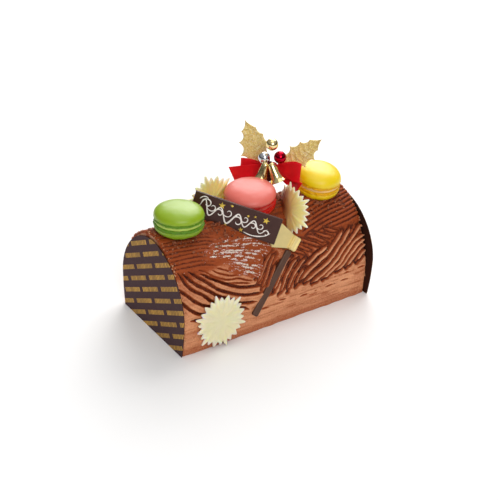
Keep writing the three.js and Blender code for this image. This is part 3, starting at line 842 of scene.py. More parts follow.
def comb_cream(x, arc, depth):
    """The combed surface at places on the log: how far it stands off the plain arch, how light it is and
    how sugared. Each family of lines is worked into what the families before it left, as the comb's
    strokes cross each other on the cake."""
    place = pair(x, arc)
    x_wavy = x + 0.26 * noise(place, 5.2, seed=1) + 0.2 * noise(place, 1.4, seed=2)
    arc_wavy = arc + 0.26 * noise(place, 5.8, seed=3) + 0.2 * noise(place, 1.3, seed=4)
    front = arc > 0
    far = np.abs(arc)
    # the dark crown gives way to paler flanks, lower on the right-hand front
    edge = np.where(front, 41 + 3 * smoothstep(0, 40, x), 36) + 2.5 * noise(place, 9, seed=5)
    tone = 0.2 + 0.5 * smoothstep(-2.5, 2.5, far - edge) + 0.2 * smoothstep(46, 76, far)
    tone += 0.1 * noise(place, (16, 2.1), seed=6) + 0.06 * noise(place, (7, 0.9), seed=7)
    # thin scratches along the pale lower band
    tone -= 0.2 * smoothstep(0.3, 0.7, noise(place, (11, 0.9), seed=18)) * smoothstep(66, 76, far)
    # painted shade: the cream darkens over the last few millimetres down to the board
    tone = blend(tone, 0.62, smoothstep(95, 99, far) * 0.7)
    height = 0.45 * noise(place, 19, seed=8) + 0.2 * noise(place, (15, 2.0), seed=10)
    state = height, tone
    state = cut_grooves(state, CROWN_GROOVES, x_wavy, arc_wavy, 1.3, 0.5, 0.1, lip=0.25)
    state = cut_grooves(state, TOP_LEFT_GROOVES, x_wavy, arc_wavy, 1.2, 0.55, 0.08, lip=0.3)
    state = cut_grooves(state, TOP_RIGHT_GROOVES, x_wavy, arc_wavy, 1.5, 0.8, 0.04, lip=0.4)
    state = cut_grooves(state, LEFT_FINE, x_wavy, arc_wavy, 1.2, depth * 0.6, 0.12, soft=0.35)
    state = cut_grooves(state, LEFT_GROOVES, x_wavy, arc_wavy, 2.5, depth, 0.04)
    state = raise_ridges(state, HANDLE_LEFT_RIDGES, x_wavy, arc_wavy, 1.2, 2.6, 0.5, 0.78, 0.1, depth * 0.8)
    state = raise_ridges(state, RIGHT_RIDGES, x_wavy, arc_wavy, 2.0, 3.6, 0.6, 0.95, 0.06, depth)
    state = raise_ridges(state, HANDLE_RIGHT_RIDGES, x_wavy, arc_wavy, 1.3, 2.9, 0.5, 0.95, 0.05, depth)
    state = raise_ridges(state, HERRINGBONE, x_wavy, arc_wavy, 1.5, 2.6, 0.5, 0.58, 0.08, depth * 0.7)
    state = cut_grooves(state, LOWER_DASHES, x_wavy, arc_wavy, 1.2, 0.7, 0.1, lip=0.2)
    state = cut_grooves(state, BACK_GROOVES, x_wavy, arc_wavy, 2.1, depth, 0.07)
    height, tone = state
    gap, _ = comb_marks(SUGAR_STREAKS, x_wavy, arc_wavy, 5.0)
    patch = 1 - smoothstep(2.2, 4.4, gap + 1.1 * noise(place, 3.5, seed=16))
    # a bright line along each streak, and finer ones between them that run down to the right
    down = arc_wavy - (0.15 + 0.012 * (arc - 24)) * (x + 35)
    bright = (1 - smoothstep(0.2, 0.8, gap)) * smoothstep(-0.45, 0.1, noise(place, (3, 1.4), seed=17))
    finer = smoothstep(0.1, 0.9, np.cos(2 * np.pi * down / 1.6))
    finer *= smoothstep(-0.1, 0.5, noise(place, (5, 1.6), seed=11))
    tone = blend(tone, 0.3 + 0.3 * np.maximum(bright, 0.7 * finer), patch)
    height = blend(height, 0.1 + 0.4 * np.maximum(bright, 0.5 * finer), patch)
    sugar = patch * np.maximum(0.72 * bright, 0.3 * finer)
    return height, np.clip(tone, 0, 1), np.clip(sugar, 0, 1)


def half_section(q, section):
    """One side of the arch from the crown (q = 0) over the shoulder (1) to the foot (2), as the distance
    from the middle and the height. Above the shoulder it is a superellipse, y = w cos^p, z = s + (h-s)
    sin^p; below, the side draws in to the foot by the square of how far down it is."""
    half_width, shoulder, height, half_foot = section
    turn = (1 - np.clip(q, 0, 1)) * np.pi / 2
    power = LOG["crown_power"]
    up = np.clip(2 - q, 0, 1)
    y_arch = half_width * np.cos(turn) ** power
    z_arch = shoulder + (height - shoulder) * np.sin(turn) ** power
    y_side = half_width - (half_width - half_foot) * (1 - up) ** 2
    return np.where(q > 1, y_side, y_arch), np.where(q > 1, shoulder * up, z_arch)


def arc_table():
    """The arc length down the mean section at close steps of q."""
    q = np.linspace(0, 2, 2001)
    y, z = half_section(q, (NEAR_SECTION + FAR_SECTION) / 2)
    return q, np.concatenate([[0], np.cumsum(np.hypot(np.diff(y), np.diff(z)))])


def press_seats(points, macarons):
    """The cream under each macaron pressed down to its lower dome, and squeezed up in a low rim round it."""
    for centre, axes, radius, height in macarons:
        local = (points - centre) @ axes.T
        reach = np.hypot(local[:, 0], local[:, 1])
        share = np.clip(reach / (radius + 0.2), 0, 1)
        dome = -(FOOT + (height / 2 - FOOT) * (1 - share**2.5) ** 0.4) - 0.1
        over = (reach < radius + 0.2) & (local[:, 2] > dome) & (local[:, 2] > -height)
        local[over, 2] = dome[over]
        ring = np.exp(-(((reach - radius - 1.6) / 1.3) ** 2))
        local[:, 2] += np.where(np.abs(local[:, 2]) < height, 0.35 * ring, 0)
        points = put(local, centre, axes)
    return points


def log_shape(depth, macarons):
    """The log as one closed surface over a grid of rows along it and columns round its section. The place
    is the arch at that row, drawn in at the two ends by a quarter circle, plus the combed height along
    the surface's normal. The underside is flat and the end faces shrink to their middle in rings."""
    half = LOG["half_length"]
    rounding = LOG["rounding"]
    q_table, arc_at = arc_table()
    total = arc_at[-1]
    arcs = np.concatenate([np.linspace(total, 0, 193), np.linspace(0, -total, 112)[1:]])
    q = np.interp(np.abs(arcs), arc_at, q_table)
    body = np.linspace(-half + rounding, half - rounding, 276)
    ends = half - rounding * (1 - np.sin(np.linspace(0, np.pi / 2, 5)[1:]))
    rows = np.concatenate([-ends[::-1], body, ends])
    share = ((rows + half) / (2 * half))[:, None]
    section = [blend(near, far, share) for near, far in zip(NEAR_SECTION, FAR_SECTION)]
    y, z = half_section(q[None, :], section)
    y = y * -np.sign(arcs + 1e-9)
    grid = np.stack([np.broadcast_to(rows[:, None], y.shape), y, z], axis=-1)
    # the real arc length at each grid point, measured from the crown
    step = np.linalg.norm(np.diff(grid, axis=1), axis=2)
    arc = np.concatenate([np.zeros((len(rows), 1)), np.cumsum(step, axis=1)], axis=1)
    crown = int(np.argmin(np.abs(arcs)))
    arc = arc[:, crown : crown + 1] - arc
    across = np.gradient(grid, axis=1)
    section_normal = np.stack([np.zeros(y.shape), -across[..., 2], across[..., 1]], axis=-1)
    section_normal /= np.linalg.norm(section_normal, axis=2)[..., None]
    into_end = np.clip(np.abs(rows) - (half - rounding), 0, rounding)
    drawn = rounding - np.sqrt(rounding**2 - into_end**2)
    grid = grid - section_normal * drawn[:, None, None]
    normal = np.cross(np.gradient(grid, axis=0), np.gradient(grid, axis=1))
    normal /= np.linalg.norm(normal, axis=2)[..., None]
    height, tone, sugar = comb_cream(grid[..., 0].ravel(), arc.ravel(), depth)
    fade = smoothstep(0, 2.5, grid[..., 2])
    grid = grid + normal * (height.reshape(y.shape) * fade)[..., None]
    grid[..., 0] = np.clip(grid[..., 0], -half, half)
    # the foot of the cream wavers a little where it was smeared off on the board
    foot = (1 - smoothstep(0, 4, grid[..., 2])) * 0.5 * noise(pair(grid[..., 0], grid[..., 1]), 7, seed=13)
    grid[..., 1] += foot
    grid[:, 0, 2] = 0
    grid[:, -1, 2] = 0
    grid = press_seats(grid.reshape(-1, 3), macarons).reshape(grid.shape)
    # the underside, then the rings of each end face
    under_share = np.linspace(0, 1, 6)[1:-1][None, :, None]
    under = blend(grid[:, -1:], grid[:, :1], under_share)
    loop = np.concatenate([grid, under], axis=1)
    columns = loop.shape[1]
    tone = np.hstack([tone.reshape(y.shape), np.full((len(rows), 4), 0.6)])
    sugar = np.hstack([sugar.reshape(y.shape), np.zeros((len(rows), 4))])
    points = [loop.reshape(-1, 3)]
    tones = [tone.ravel()]
    sugars = [sugar.ravel()]
    faces = [grid_faces(len(rows), columns, wrap=True)]
    count = loop.shape[0] * columns
    for row, side in ((0, -1), (len(rows) - 1, 1)):
        edge = loop[row]
        centre = np.array([edge[:, 0].mean(), edge[:, 1].mean(), 36.0])
        shares = np.array([0.985, 0.955, 0.9, 0.75, 0.4])[:, None, None]
        rings = centre + (edge - centre) * shares
        crumb = noise(rings[..., 1:], 2.2, seed=14) * 0.5 + noise(rings[..., 1:], 5.5, seed=15)
        rings[..., 0] = side * half - side * np.clip(0.35 + 0.3 * crumb, 0, 1)
        ring = row * columns + np.arange(columns)
        index = np.vstack([ring, count + np.arange(5 * columns).reshape(5, columns)])
        wrapped = np.hstack([index, index[:, :1]])
        quads = [wrapped[:-1, :-1], wrapped[1:, :-1], wrapped[1:, 1:], wrapped[:-1, 1:]]
        quads = np.stack(quads, axis=-1).reshape(-1, 4)
        tip = fan(index[-1], count + 5 * columns)
        if side < 0:
            quads = quads[:, ::-1]
            tip = tip[:, ::-1]
        faces += [quads[:, ::-1], tip]
        points += [rings.reshape(-1, 3), [[side * (half - 0.4), centre[1], 36.0]]]
        tones += [np.clip(0.8 + 0.35 * crumb.ravel(), 0, 1), [0.8]]
        sugars += [np.clip(0.5 * crumb.ravel() - 0.1, 0, 0.5), [0.0]]
        count += 5 * columns + 1
    values = {"tone": np.concatenate(tones), "sugar": np.concatenate(sugars)}
    surface = {"grid": grid, "normal": normal, "arc": arc}
    return (np.vstack(points), faces), values, surface


# ---- scattered grains ----
def grain_shape():
    """A cut grain: a cube whose corners are drawn in to a rough ball, with 12 triangles."""
    signs = np.array(np.meshgrid([-1, 1], [-1, 1], [-1, 1], indexing="ij")).reshape(3, -1).T
    quads = np.array([[0, 1, 3, 2], [4, 6, 7, 5], [0, 4, 5, 1], [2, 3, 7, 6], [0, 2, 6, 4], [1, 5, 7, 3]])
    triangles = np.vstack([quads[:, [0, 1, 2]], quads[:, [0, 2, 3]]])
    return signs * 0.5, triangles


def scatter(name, places, normals, sizes, material, seed, flat=0.8):
    """Many grains as one piece: each a copy of the grain, stretched and turned at random, resting on its
    place."""
    random = np.random.default_rng(seed)
    base, triangles = grain_shape()
    count = len(places)
    stretch = random.uniform([0.7, 0.7, flat * 0.6], [1.3, 1.3, flat], (count, 3)) * sizes[:, None]
    turn = np.linalg.qr(random.normal(size=(count, 3, 3)))[0]
    rough = base + random.uniform(-0.14, 0.14, (count, 8, 3))
    local = np.einsum("nij,nkj->nki", turn, rough * stretch[:, None, :])
    points = local + places[:, None, :] + normals[:, None, :] * (sizes * 0.25)[:, None, None]
    faces = triangles[None] + (np.arange(count) * 8)[:, None, None]
    return make_piece(name, (points.reshape(-1, 3), [faces.reshape(-1, 3)]), material, sharp=25)


def pick_places(surface, weight, count, seed):
    """Random places on the log's grid, drawn with the given weights, each moved a little within its cell."""
    random = np.random.default_rng(seed)
    weight = weight.ravel() / weight.sum()
    chosen = random.choice(weight.size, size=count, p=weight)
    spots = surface["grid"].reshape(-1, 3)[chosen]
    normals = surface["normal"].reshape(-1, 3)[chosen]
    jitter = random.uniform(-0.3, 0.3, (count, 3))
    jitter -= normals * np.einsum("ij,ij->i", jitter, normals)[:, None]
    return spots + jitter, normals, random


# ---- macarons ----
MACARON_NAMES = ("green_macaron", "pink_macaron", "yellow_macaron")
FOOT = 2.9  # from a macaron's middle to where its dome begins
SHELL_START = 1.2  # from a macaron's middle to a shell's flat side
SHELL_TOP_GAP = 0.2  # how far a shell's own height stops short of the macaron's
FILLING_SHARE = 0.955  # of the shell's radius


def macaron_places():
    """Each macaron's middle, axes, radius and height, from its filling and shells in the frame."""
    places = []
    for name in MACARON_NAMES:
        centre, axes = plate_pose(name + "_filling", (1, 0, 0), (0, 0, 1))
        shell = (node_points(name + "_upper_shell") - centre) @ axes.T
        places.append((centre, axes, np.abs(shell[:, :2]).max(), 2 * shell[:, 2].max()))
    return places


def shell_shape(radius, height, seed):
    """One macaron shell, flat side down. Its outline is a superelliptic dome, r = R cos^0.8, z = f + h
    sin^0.8, over a foot whose edge is ruffled by noise round the shell; the whole is a little uneven."""
    foot_height = 1.9
    rise = height - foot_height
    turn = np.linspace(0, np.pi / 2, 40)[:-1]
    dome_r = radius * np.cos(turn) ** 0.8
    dome_z = foot_height + rise * np.sin(turn) ** 0.8
    foot_z = np.linspace(0, foot_height, 9)
    bulge = 0.45 * np.sin(np.pi * foot_z / foot_height) - 0.5
    foot_r = radius + bulge
    profile = np.vstack([
        [[0, 0]],
        np.stack([radius * np.array([0.5, 0.85, 0.94]), [0, 0, 0]], axis=1),
        np.stack([foot_r, foot_z], axis=1),
        np.stack([dome_r, dome_z + 0.12], axis=1),
        [[0, height + 0.12]],
    ])
    rings = turned(profile, 150)
    angle = np.linspace(0, 2 * np.pi, 150, endpoint=False)
    circle = np.stack([np.cos(angle), np.sin(angle)], axis=1) * radius
    level = profile[1:-1, 1][:, None]
    rim = np.broadcast_to(circle[None], (len(level), 150, 2))
    spot = np.concatenate([rim, np.broadcast_to(level[..., None], (len(level), 150, 1)) * 2], axis=2)
    ruffle = noise(spot, 1.8, seed) * 0.7 + noise(spot, 0.8, seed + 1) * 0.4
    on_foot = np.zeros(len(level))
    on_foot[3:12] = 1
    on_foot[12:14] = 0.35
    lumps = noise(rings, 11, seed + 2) * 0.22 + noise(rings, 3.2, seed + 3) * 0.05
    reach = np.linalg.norm(rings[..., :2], axis=2)
    grow = (ruffle * on_foot[:, None] + lumps * (level > foot_height)) / np.maximum(reach, 1)
    rings[..., :2] *= (1 + grow)[..., None]
    rings[..., 2] += lumps * smoothstep(foot_height, foot_height + 2, rings[..., 2])
    foot_mark = np.repeat(on_foot, 150)
    return closed_rings(rings), {"foot": np.concatenate([foot_mark, [0, 0]])}


def filling_shape(radius, seed):
    """The filling: a thin disc whose edge bulges in a half circle and wavers in and out."""
    lift = np.linspace(-1.1, 1.1, 7)
    edge = radius - 0.5 + 0.6 * np.sqrt(np.maximum(0, 1 - (lift / 1.2) ** 2))
    profile = np.vstack([[[0, -1.1], [radius * 0.6, -1.1]], np.stack([edge, lift], axis=1),
                         [[radius * 0.6, 1.1], [0, 1.1]]])
    rings = turned(profile, 110)
    waver = noise(rings * np.array([1, 1, 0.4]), 3.0, seed) * 0.35
    rings[..., :2] *= (1 + waver / radius)[..., None]
    return closed_rings(rings)


# ---- plates ----
# each plate's name, its arm's direction, its face's, spin and bend in degrees, painted shade and painted
# glow
CRYSTALS = (
    ("snow_crystal_front", (1, 0, 0), (0, -1, 0.06), 41, 0, 0.0, 0.1),
    ("snow_crystal_back", (1, 0, 0), (0, -1, 0.05), 44, 0, 0.0, 0.9),
    ("snow_crystal_right", (-0.04, -0.98, 0.2), (-0.98, 0.04, 0.12), 30, 32, 1.0, 0.9),
)
CURLED_SCALE = 0.94  # a curled plate's size beside a flat one's
# a sixth of a plate's rim, from one arm to the next: [degrees from the arm, radius]
RIM_TABLE = np.array([
    [0, 22.8], [1.6, 22.3], [6.0, 17.4], [7.4, 17.4], [12, 19.6], [13.4, 20.0], [14.8, 19.6], [20.4, 16.8],
    [22.2, 16.8], [28.6, 20.4], [30, 20.8], [31.4, 20.4], [38, 16.8], [39.8, 16.8], [45.4, 19.6],
    [46.8, 20.0], [48.2, 19.6], [52.8, 17.4], [54.2, 17.4], [58.4, 22.3], [60, 22.8],
])


def crystal_shape(spin, bend, painted_shade, painted_glow, relief, seed):
    """A snow-crystal plate in its own XY plane. Its rim's radius repeats every 60 degrees over 24 blunt
    teeth; its face carries low radial petals, z = relief cos 6t, that fade to the middle, and thins at
    the rim. With a bend radius b the plate curls on a cylinder: x -> (b + z) sin(x/b)."""
    columns = 240
    turn = np.linspace(0, 2 * np.pi, columns, endpoint=False)
    rim = np.interp(np.degrees(turn) % 60, RIM_TABLE[:, 0], RIM_TABLE[:, 1])
    rim = rim * (1 + 0.012 * noise(pair(np.cos(turn), np.sin(turn)), 0.12, seed))
    shares = np.array([0.06, 0.2, 0.35, 0.5, 0.62, 0.72, 0.8, 0.86, 0.91, 0.95, 0.98, 1.0])
    core = rim.min() - 0.6
    reach = blend(core * shares[:, None], rim * shares[:, None], smoothstep(0.6, 1.0, shares)[:, None])
    petals = 0.5 * np.cos(6 * turn) + 0.35 * np.cos(12 * turn + 0.7) + 0.25 * np.cos(24 * turn)
    petals = petals * smoothstep(0.15, 0.5, shares)[:, None]
    thick = 0.95 - 0.55 * smoothstep(0.9, 1.0, shares)[:, None]
    face = thick + relief * petals * (shares * (1 - smoothstep(0.8, 1, shares)))[:, None]
    angle = turn + np.radians(spin)
    top = np.stack([reach * np.cos(angle), reach * np.sin(angle), face], axis=-1)
    bottom = top.copy()
    bottom[..., 2] = -thick
    rings = np.concatenate([bottom, top[::-1]])
    rings[..., 2] += 0.18 * noise(rings[..., :2], 8, seed + 1)
    edge = np.concatenate([shares, shares[::-1]])
    points, faces = closed_rings(rings)
    if bend:
        grown = bend + points[:, 2]
        around = points[:, 0] / bend
        points = np.stack([grown * np.sin(around), points[:, 1], grown * np.cos(around) - bend], axis=1)
    mark = np.concatenate([np.repeat(smoothstep(0.82, 0.98, edge), columns), [0, 0]])
    # painted shade: the plate browns towards -X, the side that curls away from the light, and less on its
    # teeth
    worn = smoothstep(14, -15, points[:, 0] + 4 * noise(points[:, :2], 9, seed + 2))
    rubbed = painted_shade * worn * (1 - 0.6 * mark)
    return (points, faces), {"edge": mark, "painted_shade": rubbed, "painted_glow": painted_glow * (1 - mark)}


def prism(outline, low, high):
    """A flat outline in XY carried straight from one height to another, closed by its two flat faces."""
    count = len(outline)
    base = np.column_stack([outline, np.full(count, low)])
    top = np.column_stack([outline, np.full(count, high)])
    sides = grid_faces(2, count, wrap=True)
    ring = np.arange(count)
    return np.vstack([base, top]), [sides, ring[None, ::-1], ring[None] + count]


def bead(path, width, height):
    """A piped line on a flat face: half an ellipse, width across and height up, carried along a path in the
    XY plane and drawn out to a point at both ends."""
    path = smooth_path(path, spacing=0.45)
    run = np.gradient(path, axis=0)
    run /= np.linalg.norm(run, axis=1)[:, None]
    side = np.stack([-run[:, 1], run[:, 0]], axis=1)
    along = np.linspace(0, 1, len(path))
    swell = np.sin(np.pi * np.clip(along, 0.001, 0.999)) ** 0.35
    swell *= 0.8 + 0.3 * np.sin(along * 9) ** 2
    turn = np.linspace(0, np.pi, 7)
    across = width / 2 * swell[:, None] * np.cos(turn)
    up = height * swell[:, None] * np.sin(turn) - 0.06
    rings = np.empty((len(path), 7, 3))
    rings[..., :2] = path[:, None, :] + side[:, None, :] * across[..., None]
    rings[..., 2] = up
    return closed_rings(rings)


def scroll(start, radius, turns, hand, heading):
    """A curl of a vine: a spiral that leaves its start in the given heading and winds in, its radius
    falling evenly to a fifth."""
    t = np.linspace(0, 1, 26)
    r = radius * (1 - 0.8 * t)
    first = np.radians(heading) - hand * np.pi / 2
    centre = np.array(start) - radius * np.array([np.cos(first), np.sin(first)])
    turn = first + hand * 2 * np.pi * turns * t
    return centre + np.stack([r * np.cos(turn), r * np.sin(turn)], axis=1)


def star_shape(at, radius, turn, height):
    """A five-pointed star, ridged from its middle to each point, a little proud of the face it lies on."""
    angle = np.radians(turn) + np.pi / 5 * np.arange(10)
    reach = np.where(np.arange(10) % 2, radius * 0.42, radius)
    rim = np.stack([at[0] + reach * np.cos(angle), at[1] + reach * np.sin(angle)], axis=1)
    points = np.vstack([
        np.column_stack([rim, np.full(10, -0.05)]),
        np.column_stack([rim, np.full(10, height * 0.5)]),
        [[at[0], at[1], -0.05], [at[0], at[1], height]],
    ])
    ring = np.arange(10)
    return points, [grid_faces(2, 10, wrap=True), fan(ring[::-1], 20), fan(ring + 10, 21)]


# ---- the axe ----
AXE_ALONG = (0.659, 0.176, 0.731)
AXE_FACING = (-0.14, -0.927, 0.349)
SHAFT = {"length": 55.5, "width": 4.9, "thickness": 3.2}
EYE = {"low": 1.2, "high": 12.2, "offset": -0.6, "width": 7.2, "thickness": 3.8, "ribs": 5}
# the blade's outline from its neck round the cutting edge, as [along the shaft, out from it]
BLADE = [(1.2, 2.0), (-4.4, 14.4), (-2.7, 16.6), (-0.5, 18.6), (7.2, 17.6), (14.9, 16.1), (12.2, 2.0)]
BLADE_HALF_THICKNESS = 0.9


def bar_rings(length, width, thickness, steps=60, power=0.35):
    """A bar along -X with a rounded-square section, y = w cos^p, z = t sin^p, whose two ends are rounded
    off and whose sides waver a little, like something cut by hand."""
    cap = np.array([0, 0.15, 0.5, 1.0])
    x = np.concatenate([cap, np.linspace(1.6, length - 1.6, steps), length - cap[::-1]])
    from_end = np.minimum(x, length - x)
    shrink = 1 - 0.28 * (1 - smoothstep(0, 1.2, from_end)) ** 2
    turn = np.linspace(0, 2 * np.pi, 40, endpoint=False)
    y = np.sign(np.cos(turn)) * np.abs(np.cos(turn)) ** power * width / 2
    z = np.sign(np.sin(turn)) * np.abs(np.sin(turn)) ** power * thickness / 2
    rings = np.empty((len(x), 40, 3))
    rings[..., 0] = -x[:, None]
    rings[..., 1] = y * shrink[:, None]
    rings[..., 2] = z * shrink[:, None]
    rings[..., 1] += 0.12 * noise(rings, 9, seed=21)
    return rings


def collar_rings(low, high, offset, width, thickness, ribs):
    """The ribbed eye of the axe: a flat tube along X whose two faces swell in ribs, z = t/2 + a |cos|."""
    x = np.concatenate([[low, low + 0.25], np.linspace(low + 0.7, high - 0.7, 12), [high - 0.25, high]])
    turn = np.linspace(0, 2 * np.pi, 120, endpoint=False)
    y = np.sign(np.cos(turn)) * np.abs(np.cos(turn)) ** 0.4
    z = np.sign(np.sin(turn)) * np.abs(np.sin(turn)) ** 0.4
    rib = np.abs(np.cos(np.pi * ribs * (y + 1) / 2 + np.pi / 2)) ** 0.7
    inset = 1 - 0.16 * (1 - smoothstep(0, 0.8, np.minimum(x - low, high - x)))
    rings = np.empty((len(x), 120, 3))
    rings[..., 0] = x[:, None]
    rings[..., 1] = offset + y * width / 2 * inset[:, None]
    rings[..., 2] = z * (thickness / 2 + 1.2 * rib) * inset[:, None]
    return rings


# ---- the pick ----
def pick_frame():
    """The pick's own axes and place, from the middles of its three balls: X across the bow, Y up its face
    and Z out of it. BALLS holds the balls' places in that frame."""
    gold, silver, red = (middle(name) for name in ("ball_gold", "ball_silver", "ball_red"))
    spans = np.array([np.subtract(BALLS["ball_red"], BALLS["ball_silver"])[:2],
                      np.subtract(BALLS["ball_gold"], BALLS["ball_silver"])[:2]])
    right, up = np.linalg.solve(spans, np.array([red - silver, gold - silver]))
    right /= np.linalg.norm(right)
    axes = axes_from(right, np.cross(right, up))
    return silver - np.array(BALLS["ball_silver"]) @ axes, axes


BALLS = {"ball_gold": (-0.8, 17.5, 5), "ball_silver": (-6, 6, 5), "ball_red": (6.4, 8.4, 5)}
# spine tips of each leaf in the pick's plane, from the stalk up each side, then the leaf's tip
LEAVES = {
    "holly_leaf_left": {
        "stalk": (-9.4, -4.6),
        "tip": (-27.4, 30.0),
        "one_side": [(-20.0, -6.2), (-28.6, 0.8), (-30.8, 11.6), (-29.6, 20.6)],
        "other_side": [(-4.6, 4.4), (-6.4, 15.2), (-11.6, 21.6), (-18.0, 25.8)],
        "rib": (-17.6, 12.6),
        "out": -11.0,
    },
    "holly_leaf_right": {
        "stalk": (6.4, -2.2),
        "tip": (35.4, 24.0),
        "one_side": [(5.4, 6.6), (10.0, 14.8), (17.8, 19.4), (25.4, 22.2)],
        "other_side": [(14.0, -6.4), (24.6, -0.6), (31.2, 6.6), (32.8, 14.6)],
        "rib": (19.4, 9.0),
        "out": -11.0,
    },
}


def leaf_side(stalk, tips, end, rib, steps):
    """One edge of a holly leaf: from the stalk over each spine to the leaf's tip, the edge between two
    spines hollowed towards the midrib by up to 4t(1-t) of the bay's depth."""
    stops = np.array([stalk, *tips, end], dtype=float)
    t = np.linspace(0, 1, steps, endpoint=False)[:, None]
    parts = []
    for i in range(len(stops) - 1):
        low, high = stops[i], stops[i + 1]
        chord = high - low
        inward = np.array([-chord[1], chord[0]])
        inward *= np.sign(inward @ (np.array(rib) - (low + high) / 2)) / np.linalg.norm(chord)
        depth = (0.04, 0.26, 0.26, 0.26, 0.1)[i] * np.linalg.norm(chord)
        parts.append(low + chord * t + inward * depth * (4 * t * (1 - t)) ** 0.8)
    return np.vstack(parts + [[end]])


def leaf_shape(leaf):
    """A holly leaf: rows run from the midrib to each edge, a straight mix of the two; it is cupped along the
    midrib, its spines curl up, and a raised midrib with side veins stands on it. Two such faces a plastic
    sheet's thickness apart are closed round the edge."""
    steps = 14
    one = leaf_side(leaf["stalk"], leaf["one_side"], leaf["tip"], leaf["rib"], steps)
    other = leaf_side(leaf["stalk"], leaf["other_side"], leaf["tip"], leaf["rib"], steps)
    spine = smooth_path([leaf["stalk"], leaf["rib"], leaf["tip"]], count=len(one))
    out = np.linspace(1, 0, 13)
    left = spine[:, None] + (one - spine)[:, None] * out[None, :, None]
    right = spine[:, None] + (other - spine)[:, None] * out[None, ::-1, None]
    flat = np.concatenate([left, right[:, 1:]], axis=1)
    reach = np.concatenate([out, out[::-1][1:]])[None, :]
    along = np.linspace(0, 1, len(one))[:, None]
    vein = np.abs(np.sin(np.pi * (along * 9 - reach * 1.1)))
    rise = 1.8 * reach**2 - 1.6 * reach**6 * np.abs(np.sin(np.pi * along * 5))
    rise = rise + 0.5 * np.exp(-((reach / 0.09) ** 2))
    rise = rise + 0.7 * (1 - vein) ** 3 * (1 - reach**2) + 1.2 * (along - 0.5) ** 2
    half = 0.22
    face = np.dstack([flat, rise + half])
    back = np.dstack([flat, rise - half])
    rows, columns = flat.shape[:2]
    top = grid_faces(rows, columns)
    bottom = grid_faces(rows, columns, start=rows * columns)[:, ::-1]
    index = np.arange(rows * columns).reshape(rows, columns)
    rim = np.concatenate([index[0, :-1], index[:-1, -1], index[-1, ::-1][:-1], index[::-1, 0][:-1]])
    after = np.roll(rim, -1)
    wall = np.stack([rim, rim + rows * columns, after + rows * columns, after], axis=1)
    points = np.vstack([face.reshape(-1, 3), back.reshape(-1, 3)])
    points[:, 2] += leaf["out"]
    return points, [top, bottom, wall]


def bell_profile():
    """A bell's outline from its crown over the flared lip and back up inside, as [radius, depth] pairs."""
    outer = smooth_path([
        (0.02, 0.1), (1.4, 0.15), (2.5, 1.2), (3.1, 3.4), (3.6, 6.8), (4.1, 9.8), (5.0, 12.8), (6.3, 15.0)],
        count=46)
    lip = np.array([[6.6, 15.35], [6.55, 15.6], [6.2, 15.45]])
    inner = smooth_path([
        (5.7, 14.5), (4.5, 12.2), (3.7, 9.8), (3.1, 6.6), (2.6, 3.4), (1.7, 1.6), (0.02, 1.2)], count=30)
    profile = np.vstack([[[0, 0.1]], outer, lip, inner, [[0, 1.2]]])
    profile[:, 1] *= -1
    return profile


def ribbon_shape(path, widths, wave, seed, cut=0.0):
    """A band of ribbon: a flat section with rounded edges carried along a path in the pick's XZ plane, its
    width along Y. It ripples across its width, its selvedges are slightly thicker, and a slanted cut draws
    one edge of its free end further along than the other."""
    path = np.asarray(path, dtype=float)
    run = np.gradient(path[:, [0, 2]], axis=0)
    run /= np.linalg.norm(run, axis=1)[:, None]
    normal = np.stack([run[:, 1], -run[:, 0]], axis=1)
    v = np.linspace(-1, 1, 23)
    thick = np.where(np.abs(v) > 0.9, 0.3, 0.2) * np.sqrt(np.maximum(0.05, 1 - np.abs(v) ** 30))
    length = np.concatenate([[0], np.cumsum(np.linalg.norm(np.diff(path, axis=0), axis=1))])
    ripple = wave * noise(pair(length[:, None] + 0 * v, 5 * v[None] + 0 * length[:, None]), (6, 5), seed)
    rings = np.empty((len(path), 46, 3))
    for side, place in ((1, slice(0, 23)), (-1, slice(23, 46))):
        order = v if side > 0 else v[::-1]
        shift = (ripple if side > 0 else ripple[:, ::-1]) + side * thick
        rings[:, place, 0] = path[:, :1] + normal[:, :1] * shift
        rings[:, place, 1] = path[:, 1:2] + order * widths[:, None] / 2
        rings[:, place, 2] = path[:, 2:] + normal[:, 1:] * shift
    slant = cut * (length / length[-1]) ** 4
    order = np.concatenate([v, v[::-1]])
    rings[..., 0] += slant[:, None] * order * run[:, :1]
    rings[..., 2] += slant[:, None] * order * run[:, 1:]
    points, faces = closed_rings(rings)
    uv_v = np.concatenate([v, v[::-1]])
    uv = np.stack(np.broadcast_arrays(length[:, None], 6 * uv_v[None]), axis=-1).reshape(-1, 2)
    uv = np.vstack([uv, uv[0], uv[-1]])
    return (points, faces), uv


def loop_path(side, reach, start, rise, sweep, width):
    """One loop of the bow: out from the knot, round and back, as a flattened ellipse, its two layers one
    behind the other; it narrows where the knot gathers it."""
    turn = np.pi * (0.04 + 1.92 * np.linspace(0, 1, 90))
    out = reach / 2 * (1 - np.cos(turn))
    layer = 2.2 * np.sin(turn) - 4.2
    fall = start * smoothstep(0, 7, out)
    path = np.stack([side * (3.6 + out), fall + rise * out, layer + sweep * out], axis=1)
    return path, 6 + (width - 6) * smoothstep(0, 0.8 * reach, out)


def tail_path(side, reach, drop, back, sweep, curl):
    """One tail of the bow, which widens out of the knot, hangs away from it and curls at its cut end."""
    out = np.linspace(0, 1, 70)
    fall = -3 - drop * out**1.15
    lift = sweep * reach * out - back + curl * smoothstep(0.7, 1.0, out) ** 2
    path = np.stack([side * ((reach + 4.5) * out - 1), fall, lift], axis=1)
    return path, 12 * (0.6 + 0.35 * smoothstep(0, 0.5, out))


# ---- settings ----
def colour(name, description, hex_colour):
    """A colour setting whose default is an sRGB hex colour."""
    value = linear(hex_colour)
    return bpy.props.FloatVectorProperty(
        name=name, description=description, subtype="COLOR", size=4, min=0, max=1, default=value)


